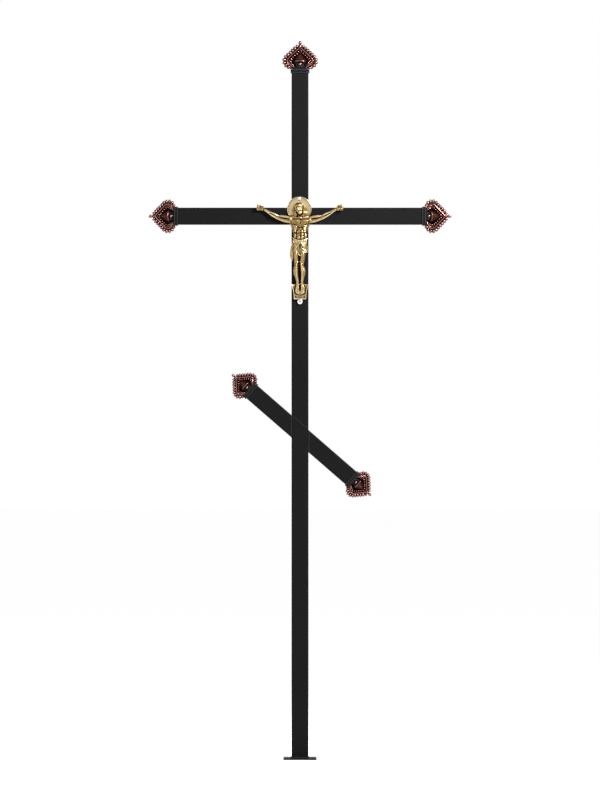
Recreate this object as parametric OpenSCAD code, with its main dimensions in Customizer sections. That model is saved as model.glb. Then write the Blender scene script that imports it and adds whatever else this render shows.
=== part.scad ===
// Grave cross of black rectangular steel tube with a slanted foot bar, five cast heart
// finials, a cast crucifix figure and a foot plate. Millimetres, +Z up, front faces -Y.
// The origin is the centre of the foot plate's underside.

/* [Tube] */
// Face width of every tube
tube_w = 50; // [40:1:60]
// Depth of every tube, front to back
tube_d = 30; // [24:1:40]
// Wall thickness of every tube
tube_wall = 2; // [1.5:0.5:3]
// Outer corner radius of every tube
tube_corner = 4; // [2.5:0.5:5]

/* [Post] */
// Height of the post's top end above the ground
post_top = 2030; // [1700:10:2400]

/* [Crossbar] */
// Height of the crossbar's centre line
crossbar_z = 1600; // [1350:10:1900]
// Distance from the post's centre line to each end of the crossbar
crossbar_reach = 368; // [250:1:480]

/* [Foot bar] */
// Height at which the foot bar's centre line meets the post's centre line
footbar_z = 959; // [700:1:1150]
// Slope of the foot bar below the horizontal, in degrees
footbar_angle = 41; // [20:1:50]
// Distance along the bar from the post's centre line to its raised end
footbar_reach_high = 195; // [150:1:260]
// Distance along the bar from the post's centre line to its low end
footbar_reach_low = 207; // [150:1:260]

/* [Foot plate] */
// Side of the square foot plate
plate_w = 98; // [90:1:160]
// Thickness of the foot plate
plate_t = 5; // [4:1:12]
// Chamfer along the plate's upper edges
plate_chamfer = 1; // [0.5:0.5:2]
// Diameter of the four anchor holes
plate_hole_d = 10; // [7:1:12]
// Distance from a hole's centre to the plate's edge
plate_hole_inset = 12; // [10:1:16]

/* [Finials] */
// Wall of the collar that caps a tube's end
collar_wall = 3; // [2:0.5:5]
// Depth of the collar's socket, which is how far it reaches over the tube
socket_depth = 8; // [5:1:15]
// Gap around the tube inside the socket
socket_gap = 0.2; // [0.1:0.05:0.4]
// Thickness of the collar beyond the tube's end
cap_t = 3; // [2:0.5:6]
// Extra length of neck under the top finial's ornament
top_neck = 9; // [0:1:20]
// Size of the foot bar's ornaments as a share of the others
foot_ornament = 0.9; // [0.75:0.05:1]
// Overall width of the heart across its beads
heart_w = 100; // [90:1:115]
// Distance from the cap to the widest part of the heart
heart_rise = 21; // [20:1:26]
// Distance from the cap to the point where the heart's straight sides would meet
heart_h = 78; // [72:1:86]
// Distance from the cap to the end of the tip bead
tip_h = 76.5; // [72:0.5:84]
// Radius of each lobe of the heart, measured to the ends of the beads
lobe_r = 24; // [22:1:28]
// Thickness of the heart's plate
heart_t = 9; // [6:1:12]
// Radius of an outer bead
bead_r = 4.9; // [4.7:0.1:5.5]
// Number of outer beads on each side of the heart
beads_per_side = 10; // [8:1:12]
// Radius of the bud's rim
bud_r = 20; // [16:1:21]
// Distance from the cap to the bud's rim
bud_rise = 17; // [15:1:20]
// Length of the bud from its rim to its tip
bud_h = 26; // [20:1:30]

/* [Figure] */
// Distance from the shoulder's centre to the body's centre line
shoulder_x = 28; // [24:1:32]
// Height of the shoulders above the crossbar's centre line, below it when negative
shoulder_z = -12; // [-16:1:-8]
// Length of the upper arm
upper_arm = 38; // [34:1:42]
// Rise of the upper arm above the horizontal, in degrees
upper_arm_rise = 11; // [5:1:20]
// Length of the forearm
forearm = 44; // [40:1:50]
// Rise of the forearm above the horizontal, in degrees
forearm_rise = 31; // [20:1:40]
// Length of the hand
hand = 26; // [22:1:30]
// Height of the head, from the hair's crown to the end of the beard
head_h = 35; // [32:1:38]
// Tilt of the head towards the raised end of the foot bar, in degrees
head_tilt = 12; // [0:1:20]
// Drop of the waist below the crossbar's centre line
waist_drop = 67; // [60:1:72]
// Drop of the loincloth's hem below the crossbar's centre line
hem_drop = 106; // [100:1:112]
// Drop of the knees below the crossbar's centre line
knee_drop = 143; // [138:1:150]
// Drop of the ankles below the crossbar's centre line
ankle_drop = 197; // [190:1:205]
// Length of the foot, which points down
foot_len = 29; // [26:1:34]
// Radius of the halo
halo_r = 36.3; // [32:0.1:40]
// Height of the halo's centre above the crossbar's centre line
halo_rise = 21; // [18:1:26]
// Sideways offset of the head and halo from the post's centre line
halo_shift = -2; // [-4:1:4]
// Thickness of the halo
halo_t = 3; // [2:0.5:4]
// Width of the footrest's upper edge
rest_top_w = 50; // [44:1:56]
// Width of the footrest's lower edge
rest_bottom_w = 36; // [30:1:42]
// Height of the footrest
rest_h = 43; // [38:1:48]
// Thickness of the footrest
rest_t = 8; // [6:1:10]

/* [Screws] */
// Diameter of the top screw's head
top_head_d = 11; // [9:0.5:12]
// Diameter of the bottom screw's head
bottom_head_d = 15.5; // [12:0.5:16]
// Height of both screw heads
head_h_screw = 3.4; // [2:0.2:5]
// Diameter of both screw shanks
shank_d = 4.8; // [4:0.2:5.5]
// Length of both screw shanks
shank_len = 14; // [10:1:20]
// Gap around a shank in each of its holes
hole_gap = 0.15; // [0.1:0.05:0.4]
// Distance from the halo's edge to the top screw's centre
top_screw_inset = 6.2; // [6:0.2:8]
// Thickness of the lug under the footrest
lug_t = 3; // [2:0.5:4]
// Rim of the lug that shows round the bottom screw's head
lug_rim = 1; // [0.5:0.5:2]

/* [Hidden] */

steel_black = [0.13, 0.13, 0.14];
patina = [0.42, 0.26, 0.22];
brass = [0.78, 0.66, 0.38];
bright_steel = [0.85, 0.85, 0.86];
round_fn = 48;       // sides of a turned surface
body_fn = 12;        // sides of the figure's rounded limbs
past = 1;            // how far a cut runs past the face that it opens
front_y = -tube_d / 2;

// Vertical distance from the foot bar's centre line to its upper edge
footbar_edge = tube_w / 2 / cos(footbar_angle);
rest_z = -(ankle_drop + 4);                      // footrest's upper edge, from the crossbar
rest_bottom = rest_z - rest_h;
lug_r = bottom_head_d / 2 + lug_rim;
lug_z = rest_bottom - bottom_head_d / 2;
top_screw_z = halo_rise + halo_r - top_screw_inset;

// ---- tubes ----

// Outline of a tube's section, grown by g all round, built from true arcs
module section(g) {
    w = tube_w + 2 * g;
    d = tube_d + 2 * g;
    r = max(tube_corner + g, 0.5);
    square([w - 2 * r, d], center = true);
    square([w, d - 2 * r], center = true);
    for (x = [-1, 1], y = [-1, 1])
        translate([x * (w / 2 - r), y * (d / 2 - r)]) circle(r = r, $fn = round_fn);
}

// Tube along +Z from z0 to z1
module tube(z0, z1) {
    translate([0, 0, z0])
        linear_extrude(height = z1 - z0)
            difference() {
                section(0);
                section(-tube_wall);
            }
}

// Block with one face on the foot bar's upper edge, over it (side 1) or under it (side -1)
module mitre_block(side) {
    size = 3 * tube_w;
    translate([0, 0, footbar_z + footbar_edge])
        rotate([0, footbar_angle, 0])
            translate([-size / 2, -size / 2, side > 0 ? 0 : -size]) cube(size);
}

module screw_holes_in_post() {
    for (hole = [[halo_shift, top_screw_z], [0, lug_z]])
        translate([hole[0], front_y, crossbar_z + hole[1]])
            rotate([-90, 0, 0])
                translate([0, 0, -past])
                    cylinder(d = shank_d + 2 * hole_gap, h = tube_wall + 2 * past, $fn = round_fn);
}

module post_lower() {
    color(steel_black)
        difference() {
            tube(plate_t, footbar_z + footbar_edge + tube_w);
            mitre_block(1);
        }
}

module post_upper() {
    color(steel_black)
        difference() {
            tube(footbar_z + footbar_edge - tube_w, post_top);
            mitre_block(-1);
            screw_holes_in_post();
        }
}

// side is -1 for the left half and 1 for the right half
module crossbar_half(side) {
    color(steel_black)
        translate([0, 0, crossbar_z])
            rotate([0, side * 90, 0])
                tube(tube_w / 2, crossbar_reach);
}

// Half of the foot bar, cut upright where it meets the post's side
module footbar_half(side, reach) {
    color(steel_black)
        difference() {
            translate([0, 0, footbar_z])
                rotate([0, side * 90 + footbar_angle, 0]) tube(0, reach);
            translate([0, 0, footbar_z]) cube([tube_w, 2 * tube_d, 4 * tube_w], center = true);
        }
}

// Plate's outline in section, run along Y
module plate_profile() {
    half = plate_w / 2;
    translate([0, half, 0])
        rotate([90, 0, 0])
            linear_extrude(height = plate_w)
                polygon([[-half, 0], [half, 0], [half, plate_t - plate_chamfer],
                         [half - plate_chamfer, plate_t], [plate_chamfer - half, plate_t],
                         [-half, plate_t - plate_chamfer]]);
}

module base_plate() {
    hole = plate_w / 2 - plate_hole_inset;
    color(steel_black)
        difference() {
            intersection() {
                plate_profile();
                rotate([0, 0, 90]) plate_profile();
            }
            for (x = [-hole, hole], y = [-hole, hole])
                translate([x, y, -past])
                    cylinder(d = plate_hole_d, h = plate_t + 2 * past, $fn = round_fn);
        }
}

// ---- finials ----
// A finial is drawn with its axis along +Z and the tube's end at its origin.
// An ornament's own heights count from the cap's outer face.

function turn(r, a) = [r * cos(a), r * sin(a)];
function arc(c, r, a0, a1, n) = [for (i = [0:n]) c + turn(r, a0 + (a1 - a0) * i / n)];

lobe_c = [heart_w / 2 - lobe_r, heart_rise];
apex_dx = -lobe_c[0];
apex_dz = heart_h - lobe_c[1];
// Angle round the lobe at which its arc runs out into the heart's straight side
side_a = atan2(apex_dz, apex_dx) - acos(lobe_r / norm([apex_dx, apex_dz]));
lobe_a = -62;        // angle round the lobe of the first bead
curl_a = -115;       // angle round the lobe at which the plate's edge starts

// Point on the heart's right side, inset from its outline: s runs along that inset curve
function side_length(inset) = (lobe_r - inset) * (side_a - lobe_a) * PI / 180;
function heart_point(inset, s) =
    let (r = lobe_r - inset, bend = side_length(inset))
    s < bend ? lobe_c + turn(r, lobe_a + s / r * 180 / PI)
             : lobe_c + turn(r, side_a) + (s - bend) * [-sin(side_a), cos(side_a)];
// Run of the inset curve from its first bead to where it is x from the heart's middle
function run_to(inset, x) =
    side_length(inset) + (lobe_c[0] + (lobe_r - inset) * cos(side_a) - x) / sin(side_a);

function half_heart(inset) = concat(
    arc(lobe_c, lobe_r - inset, curl_a, side_a, 24), [heart_point(inset, run_to(inset, 0))]);
function mirrored(points) = [for (i = [len(points) - 1:-1:0]) [-points[i][0], points[i][1]]];
function heart(inset) = concat(half_heart(inset), mirrored(half_heart(inset)));

module slab(t) {
    translate([0, t / 2, 0]) rotate([90, 0, 0]) linear_extrude(height = t) children();
}

module cap() {
    difference() {
        translate([0, 0, -socket_depth])
            linear_extrude(height = socket_depth + cap_t) section(socket_gap + collar_wall);
        translate([0, 0, -socket_depth - past])
            linear_extrude(height = socket_depth + past) section(socket_gap);
    }
}

// Turned core: neck with its disc, the small ball, then the cup and cone of the bud
module core(neck) {
    disc_r = bud_r * 0.72;
    ball_r = bud_r * 0.28;
    ball_z = bud_rise * 0.56;
    waist_r = ball_r * 0.75;
    rim_t = 1.6;
    rotate_extrude($fn = round_fn)
        polygon(concat(
            [[0, -neck - cap_t / 2], [disc_r, -neck - cap_t / 2], [disc_r, -neck]],
            arc([disc_r, -0.4], 0.9, -160, -200, 4) + [for (i = [0:4]) [-1.6, 0]],
            [[disc_r, 1.6], [disc_r, 3.4], [waist_r, 4.8]],
            arc([0, ball_z], ball_r, -40, 40, 8),
            [[waist_r, bud_rise - 4], [bud_r, bud_rise], [bud_r, bud_rise + rim_t]],
            [for (i = [1:12]) [bud_r * cos(i * 7.5), bud_rise + rim_t + bud_h * pow(i / 12, 1.25)]],
            [[0, bud_rise + rim_t + bud_h]]));
}

module bead(p, r) {
    translate([p[0], 0, p[1]]) sphere(r = r, $fn = 32);
}

// Drop-shaped bead at the very tip
module tip_bead(from, to, r) {
    middle = (from + to) / 2;
    rotate_extrude($fn = 32)
        polygon([for (i = [0:12]) [r * sin(i * 15), middle - (to - from) / 2 * cos(i * 15)]]);
}

module ornament(neck) {
    cluster_z = heart_h - 18;    // height of the bead in the middle of the tip's cluster
    lobe_x = 11.5;               // distance of the last bead on each side from the middle
    slab(heart_t)
        intersection() {
            polygon(heart(bead_r));
            translate([-heart_w / 2, 0]) square([heart_w, cluster_z]);
        }
    slab(heart_t + 3)
        difference() {
            polygon(heart(bead_r + 7.5));
            polygon(heart(bead_r + 9.7));
        }
    core(neck);
    run = run_to(bead_r, lobe_x);
    for (side = [-1, 1], i = [0:beads_per_side - 1]) {
        p = heart_point(bead_r, run * i / (beads_per_side - 1));
        bead([side * p[0], p[1]], bead_r);
    }
    bead([0, cluster_z], bead_r);
    tip_bead(cluster_z + bead_r - 1, tip_h, bead_r * 0.75);
}

module finial(neck, size) {
    color(patina) {
        cap();
        translate([0, 0, cap_t + neck]) scale(size) ornament(neck / size);
    }
}

module at_crossbar_end(side) {
    translate([side * crossbar_reach, 0, crossbar_z]) rotate([0, side * 90, 0]) children();
}

module at_footbar_end(side, reach) {
    translate([0, 0, footbar_z])
        rotate([0, side * 90 + footbar_angle, 0]) translate([0, 0, reach]) children();
}

// ---- crucifix figure ----
// Drawn round the point where the post and crossbar cross, on their front face:
// at(x, d, z) is x to the right, d proud of that face and z up.

function at(x, d, z) = [x, -d, z];
function step(from, length, rise, side) =
    from + at(side * length * cos(rise), 0, length * sin(rise));

module ball(p, r) {
    translate(p) sphere(r = r, $fn = body_fn);
}

// Tapered limb between two joints
module limb(p, r0, q, r1) {
    hull() {
        ball(p, r0);
        ball(q, r1);
    }
}

// Flat oval of the body, w wide and t thick, with its middle at p
module oval(p, w, t) {
    translate(p) scale([w / 2, t / 2, 1]) cylinder(r = 1, h = 1, center = true, $fn = 16);
}

module egg(p, w, t, h) {
    translate(p) scale([w / 2, t / 2, h / 2]) sphere(r = 1, $fn = 14);
}

module arm(side) {
    shoulder = at(side * shoulder_x, 10, shoulder_z);
    elbow = step(shoulder, upper_arm, upper_arm_rise, side);
    wrist = step(elbow, forearm, forearm_rise, side) + at(0, -3, 0);
    palm = step(wrist, hand * 0.4, forearm_rise - 4, side);
    tip = step(wrist, hand - 3, forearm_rise, side);
    limb(shoulder, 9, elbow, 6.2);
    limb(elbow, 6.4, wrist, 3.8);
    limb(wrist, 3.6, palm, 5);
    limb(palm, 5, tip, 3);
}

module torso() {
    chest = shoulder_z - 16;
    hull() {
        oval(at(0, 9, shoulder_z + 4), 50, 14);
        oval(at(0, 11, chest + 6), 60, 24);
    }
    hull() {
        oval(at(0, 11, chest + 6), 60, 24);
        oval(at(0, 11, chest - 10), 49, 22);
    }
    hull() {
        oval(at(0, 11, chest - 10), 49, 22);
        oval(at(0, 8.5, chest - 24), 39, 17);
    }
    hull() {
        oval(at(0, 8.5, chest - 24), 39, 17);
        oval(at(0, 9.5, -waist_drop), 37.5, 18);
    }
    limb(at(0, 9, shoulder_z), 7.5, at(halo_shift / 2, 12, shoulder_z + 16), 7);
    // chest muscles, edge of the ribs, and belly
    for (side = [-1, 1]) {
        egg(at(side * 11.5, 19, shoulder_z - 10), 24, 11, 15);
        limb(at(side * 2, 21, chest - 4), 2.4, at(side * 17, 17, chest - 20), 2.6);
        limb(at(side * 6, 9, shoulder_z + 4), 5, at(side * 24, 9, shoulder_z + 2), 6);
    }
    egg(at(0, 14, chest - 28), 23, 11, 30);
}

module loincloth() {
    hull() {
        oval(at(0, 9.5, 1 - waist_drop), 40, 21);
        oval(at(0, 11, -waist_drop - 14), 48, 24);
    }
    hull() {
        oval(at(0, 11, -waist_drop - 14), 48, 24);
        oval(at(0, 12, -hem_drop), 40, 25);
    }
    // rolled bands that cross below the waist, and the tongue that hangs from them
    for (side = [-1, 1]) {
        limb(at(side * 21, 14, -waist_drop - 8), 4, at(1, 22, -waist_drop - 11), 2.8);
        limb(at(1, 22, -waist_drop - 11), 2.8, at(side * 20, 19, 2 - hem_drop), 2.4);
    }
    limb(at(0, 21, -waist_drop - 16), 3.4, at(-0.5, 22, -hem_drop - 9), 4);
    // end of the cloth that hangs at the hip
    hull() {
        oval(at(-24, 8, -waist_drop - 14), 8, 12);
        oval(at(-25, 7, -hem_drop - 24), 9, 8);
    }
}

module leg(side) {
    hip = at(side * 11, 11.5, 6 - hem_drop);
    knee = at(side * 7.6 - 2, 17.5, -knee_drop);
    calf = at(side * 10 - 1, 12, -knee_drop - 24);
    ankle = at(side * 6, 11.5, -ankle_drop);
    heel = at(side * 6, rest_t + 3, -ankle_drop - 5);
    toes = at(side * 8, rest_t + 3.5, -ankle_drop - foot_len);
    limb(hip, 9, knee, 6.8);
    limb(knee, 6.8, calf, 7.6);
    limb(calf, 7.6, ankle, 4.6);
    limb(ankle, 4.6, heel, 5);
    limb(heel, 5, toes, 4.2);
}

module head() {
    translate(at(halo_shift, 15, halo_rise + 2))
        rotate([0, -head_tilt, 0]) {
            egg([0, -1, 0], 25, 27, head_h);                          // skull and face
            egg([0, -9, -head_h * 0.36], 15, 12, head_h * 0.4);       // beard
            egg([0, -12.5, -2], 4.5, 7, 10);                          // nose
            egg([0, 5, 1], 36, 22, head_h + 2);                       // hair
            egg([-12, 1, -10], 14, 17, 30);
            egg([13, 1, -12], 15, 18, 34);
        }
}

module halo() {
    difference() {
        union() {
            translate(at(halo_shift, 0, halo_rise))
                rotate([90, 0, 0]) cylinder(r = halo_r, h = halo_t, $fn = 64);
            translate(at(halo_shift, halo_t / 2, halo_rise))
                rotate([90, 0, 0])
                    difference() {
                        cylinder(r = halo_r, h = halo_t / 2 + 0.8, $fn = 64);
                        translate([0, 0, -past])
                            cylinder(r = halo_r - 2, h = halo_t + 2 * past, $fn = 64);
                    }
        }
        translate(at(halo_shift, halo_t, top_screw_z))
            rotate([90, 0, 0]) cylinder(d = top_head_d + 1, h = halo_t, $fn = 24);
    }
}

module footrest() {
    top = rest_top_w / 2;
    bottom = rest_bottom_w / 2;
    lip = 8;
    translate([0, 0, rest_bottom])
        rotate([90, 0, 0])
            linear_extrude(height = rest_t)
                polygon([[-bottom, 0], [bottom, 0], [bottom, lip], [top - 2, rest_h - lip],
                         [top, rest_h], [-top, rest_h], [2 - top, rest_h - lip], [-bottom, lip]]);
    translate([0, 0, lug_z])
        rotate([90, 0, 0]) cylinder(r = lug_r, h = lug_t, $fn = 32);
}

module figure_screw_holes() {
    for (hole = [[halo_shift, top_screw_z], [0, lug_z]])
        translate(at(hole[0], -past, hole[1]))
            rotate([90, 0, 0])
                cylinder(d = shank_d + 2 * hole_gap, h = rest_t + 2 * past, $fn = 24);
}

module crucifix_figure() {
    color(brass)
        translate([0, front_y, crossbar_z])
            difference() {
                union() {
                    halo();
                    head();
                    torso();
                    loincloth();
                    footrest();
                    for (side = [-1, 1]) {
                        arm(side);
                        leg(side);
                    }
                }
                // the casting's back is flat and lies on the tubes
                translate([-2 * upper_arm - 2 * forearm, 0, -2 * ankle_drop])
                    cube([4 * (upper_arm + forearm), 100, 4 * ankle_drop]);
                figure_screw_holes();
            }
}

// ---- screws ----

// Domed head and shank, with the head's underside at the origin and the shank along +Y
module screw(head_d) {
    rotate([90, 0, 0])
        rotate_extrude($fn = round_fn)
            polygon(concat([[0, -shank_len], [shank_d / 2, -shank_len], [shank_d / 2, 0],
                            [head_d / 2, 0], [head_d / 2, head_h_screw * 0.35]],
                           [for (i = [1:9]) [head_d / 2 * cos(i * 10),
                                             head_h_screw * (0.35 + 0.65 * sin(i * 10))]]));
}

module screw_top() {
    color(bright_steel)
        translate([halo_shift, front_y - halo_t, crossbar_z + top_screw_z]) screw(top_head_d);
}

module screw_bottom() {
    color(bright_steel)
        translate([0, front_y - lug_t, crossbar_z + lug_z]) screw(bottom_head_d);
}

// ---- nodes ----

module crossbar_left() { crossbar_half(-1); }
module crossbar_right() { crossbar_half(1); }
module footbar_high() { footbar_half(-1, footbar_reach_high); }
module footbar_low() { footbar_half(1, footbar_reach_low); }
module finial_top() { translate([0, 0, post_top]) finial(top_neck, 1); }
module finial_left() { at_crossbar_end(-1) finial(0, 1); }
module finial_right() { at_crossbar_end(1) finial(0, 1); }
module finial_foot_high() { at_footbar_end(-1, footbar_reach_high) finial(0, foot_ornament); }
module finial_foot_low() { at_footbar_end(1, footbar_reach_low) finial(0, foot_ornament); }

base_plate();
post_lower();
post_upper();
crossbar_left();
crossbar_right();
footbar_high();
footbar_low();
finial_top();
finial_left();
finial_right();
finial_foot_high();
finial_foot_low();
crucifix_figure();
screw_top();
screw_bottom();
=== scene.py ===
# %% [markdown]
# # A wrought iron grave cross
# The cross is a post of black steel tube with a crossbar and a slanting foot bar. Each open tube end
# wears a cast finial in old copper, and a small brass crucifix figure is screwed on where the bars
# cross. The exact steelwork comes ready made from the construction model, which is loaded first.
# Blender adds what a caster, a welder and a painter would: the modelled castings, the weld beads
# and the finishes. Everything is in metres, in the construction model's own frame.

# %% Load the construction model
import math

import bmesh
import bpy
import numpy as np
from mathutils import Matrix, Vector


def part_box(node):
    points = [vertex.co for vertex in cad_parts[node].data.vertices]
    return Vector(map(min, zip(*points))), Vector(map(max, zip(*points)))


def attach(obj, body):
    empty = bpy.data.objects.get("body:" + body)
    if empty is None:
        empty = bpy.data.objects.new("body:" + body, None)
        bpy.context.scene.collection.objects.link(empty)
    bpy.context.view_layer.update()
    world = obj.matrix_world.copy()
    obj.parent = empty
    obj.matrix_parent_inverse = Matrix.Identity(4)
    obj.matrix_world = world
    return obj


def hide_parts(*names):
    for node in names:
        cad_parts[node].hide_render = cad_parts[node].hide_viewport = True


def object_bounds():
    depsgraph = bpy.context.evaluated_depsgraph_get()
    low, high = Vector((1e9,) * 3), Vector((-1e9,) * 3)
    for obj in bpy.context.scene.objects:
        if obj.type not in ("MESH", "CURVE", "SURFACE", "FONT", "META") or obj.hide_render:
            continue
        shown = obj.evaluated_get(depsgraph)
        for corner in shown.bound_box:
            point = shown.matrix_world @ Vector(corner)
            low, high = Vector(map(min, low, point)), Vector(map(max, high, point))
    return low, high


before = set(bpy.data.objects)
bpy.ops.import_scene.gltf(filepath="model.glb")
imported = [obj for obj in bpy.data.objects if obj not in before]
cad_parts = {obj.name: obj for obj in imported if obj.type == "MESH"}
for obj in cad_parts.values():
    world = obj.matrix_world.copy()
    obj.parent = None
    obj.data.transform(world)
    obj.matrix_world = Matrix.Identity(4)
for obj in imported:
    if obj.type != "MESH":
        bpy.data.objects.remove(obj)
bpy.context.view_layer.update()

import openvdb
from mathutils import Matrix, Vector

# %% [markdown]
# ## Where the pieces sit
# Every place is read from the construction model, so a casting always lands on its own tube. The
# crossing of the bars is the middle of the crossbar's height on the post's front face, and the slope
# of the foot bar comes from the boxes of its two end castings.

# %% Read the places
def middle(node):
    low, high = (Vector(corner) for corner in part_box(node))
    return (low + high) / 2


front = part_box("post_upper")[0][1]
crossing = Vector((0, front, middle("crossbar_left").z))
high_end, low_end = middle("finial_foot_high"), middle("finial_foot_low")
foot_slope = math.atan2(low_end.z - high_end.z, low_end.x - high_end.x)
foot_middle = Vector((0, 0, high_end.z - high_end.x * math.tan(foot_slope)))
tube_half_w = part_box("post_upper")[1][0]
tube_half_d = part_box("post_upper")[1][1]
print("crossing", crossing, "foot bar slopes", round(math.degrees(foot_slope), 1), "degrees")

# %% [markdown]
# ## Digital clay
# A caster models the pattern in clay, adding pellets and rolls and smoothing them together. The same
# can be done in Blender with sculpt strokes, with metaballs, or with a block of numbers that holds,
# for every point of a fine grid, its distance from the surface. The block is used here because soft
# joins, cut grooves and exact sizes all come from one simple rule: the lesser distance wins, and near
# a tie the two are blended. OpenVDB, which is part of Blender, then finds the surface.

# %% A block of clay
SHELL = 3.0      # millimetres round each shape in which the distance is kept


def soft_least(a, b, soft):
    if soft <= 0:
        return np.minimum(a, b)
    mix = np.clip(0.5 + 0.5 * (b - a) / soft, 0, 1)
    return b + (a - b) * mix - soft * mix * (1 - mix)


class Clay:
    """Distances in millimetres from a surface, at every point of a block."""

    def __init__(self, low, high, grain):
        self.low, self.grain = np.array(low, float), grain
        self.count = np.ceil((np.array(high, float) - self.low) / grain).astype(int) + 1
        self.gap = np.full(self.count, SHELL, np.float32)

    def window(self, low, high):
        first = np.floor((np.array(low) - self.low) / self.grain).astype(int).clip(0, self.count)
        last = np.ceil((np.array(high) - self.low) / self.grain).astype(int).clip(0, self.count)
        lines = [(self.low[i] + self.grain * np.arange(first[i], last[i])).astype(np.float32)
                 for i in range(3)]
        return tuple(slice(a, b) for a, b in zip(first, last)), np.ix_(*lines)

    def add(self, shape, soft=0.0):
        measure, low, high = shape
        where, grid = self.window(low - soft - SHELL, high + soft + SHELL)
        self.gap[where] = soft_least(self.gap[where], measure(*grid), soft)

    def cut(self, shape, soft=0.0):
        measure, low, high = shape
        where, grid = self.window(low - soft - SHELL, high + soft + SHELL)
        self.gap[where] = -soft_least(-self.gap[where], measure(*grid), soft)

    def keep_above(self, axis, level):
        """Cuts the block flat, as where a casting was filed to lie against its seat."""
        line = (level - self.low[axis] - self.grain * np.arange(self.count[axis]))
        shape = [1, 1, 1]
        shape[axis] = -1
        self.gap = np.maximum(self.gap, line.astype(np.float32).reshape(shape))


# %% [markdown]
# ## Pellets, rolls and slabs
# Few shapes are needed. An egg is a ball with three different radii and may be turned. A roll
# follows a line of points and may taper, like clay rolled under the palm. A slab is a rounded block,
# and a spun shape is turned on a lathe from its profile. Each gives its distance and its own limits.

# %% The shapes that go into the clay
def egg(centre, radii, turn=None):
    c, r = np.array(centre, float), np.array(radii, float)
    reach = np.full(3, r.max()) if turn is not None else r

    def measure(x, y, z):
        p = (x - c[0], y - c[1], z - c[2])
        if turn is not None:
            p = [turn[i][0] * p[0] + turn[i][1] * p[1] + turn[i][2] * p[2] for i in range(3)]
        near = np.sqrt(sum((p[i] / r[i]) ** 2 for i in range(3))).clip(1e-3)
        steep = np.sqrt(sum((p[i] / r[i] ** 2) ** 2 for i in range(3))).clip(1e-3 / r.max())
        return (near * (near - 1) / steep).astype(np.float32)
    return measure, c - reach, c + reach


def roll(points, radii):
    points = np.array(points, float)
    radii = np.interp(np.linspace(0, 1, len(points)),
                      np.linspace(0, 1, len(np.atleast_1d(radii))), np.atleast_1d(radii))

    def measure(x, y, z):
        nearest = None
        for a, b, ra, rb in zip(points[:-1], points[1:], radii[:-1], radii[1:]):
            run = b - a
            p = (x - a[0], y - a[1], z - a[2])
            t = ((p[0] * run[0] + p[1] * run[1] + p[2] * run[2]) / max(run @ run, 1e-9)).clip(0, 1)
            gap = np.sqrt(sum((p[i] - t * run[i]) ** 2 for i in range(3))) - (ra + (rb - ra) * t)
            nearest = gap if nearest is None else np.minimum(nearest, gap)
        return nearest.astype(np.float32)
    reach = radii.max()
    return measure, points.min(0) - reach, points.max(0) + reach


def slab(centre, half, rounding=0.5):
    c, h = np.array(centre, float), np.array(half, float)

    def measure(x, y, z):
        q = [np.abs(v - c[i]) - (h[i] - rounding) for i, v in enumerate((x, y, z))]
        outside = np.sqrt(sum(np.maximum(v, 0) ** 2 for v in q))
        inside = np.minimum(np.maximum(np.maximum(q[0], q[1]), q[2]), 0)
        return (outside + inside - rounding).astype(np.float32)
    return measure, c - h, c + h


def tube_block(centre, half, corner):
    """A block along the third axis with rounded long edges, as a stock tube has."""
    c, h = np.array(centre, float), np.array(half, float)

    def measure(x, y, z):
        qx, qy = np.abs(x - c[0]) - (h[0] - corner), np.abs(y - c[1]) - (h[1] - corner)
        side = np.sqrt(np.maximum(qx, 0) ** 2 + np.maximum(qy, 0) ** 2)
        side = side + np.minimum(np.maximum(qx, qy), 0) - corner
        return np.maximum(side, np.abs(z - c[2]) - h[2]).astype(np.float32)
    return measure, c - h, c + h


def spun(profile, steep=0.8):
    """Turned round the third axis from (height, radius) pairs."""
    heights, radii = np.array(profile, float).T

    def measure(x, y, z):
        away = np.sqrt(x ** 2 + y ** 2)
        side = (away - np.interp(z, heights, radii)) * steep
        return np.maximum(side, np.maximum(heights[0] - z, z - heights[-1])).astype(np.float32)
    reach = radii.max()
    return measure, np.array([-reach, -reach, heights[0]]), np.array([reach, reach, heights[-1]])


def hoop(x_at, z_at, radius, depth, thick):
    """A ring that lies flat against the tube's face."""
    def measure(x, y, z):
        away = np.sqrt((x - x_at) ** 2 + (z - z_at) ** 2) - radius
        return (np.sqrt(away ** 2 + (y - depth) ** 2) - thick).astype(np.float32)
    reach = np.array([radius + thick, thick, radius + thick])
    centre = np.array([x_at, depth, z_at])
    return measure, centre - reach, centre + reach


def flowing(points, steps=5):
    """A smooth line through the points, for hair and cloth."""
    p = np.array(points, float)
    p = np.vstack([2 * p[0] - p[1], p, 2 * p[-1] - p[-2]])
    line = [p[1]]
    for a, b, c, d in zip(p[:-3], p[1:-2], p[2:-1], p[3:]):
        for t in np.linspace(0, 1, steps + 1)[1:]:
            line.append(0.5 * (2 * b + (c - a) * t + (2 * a - 5 * b + 4 * c - d) * t ** 2
                               + (3 * b - a - 3 * c + d) * t ** 3))
    return np.array(line)
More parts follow.
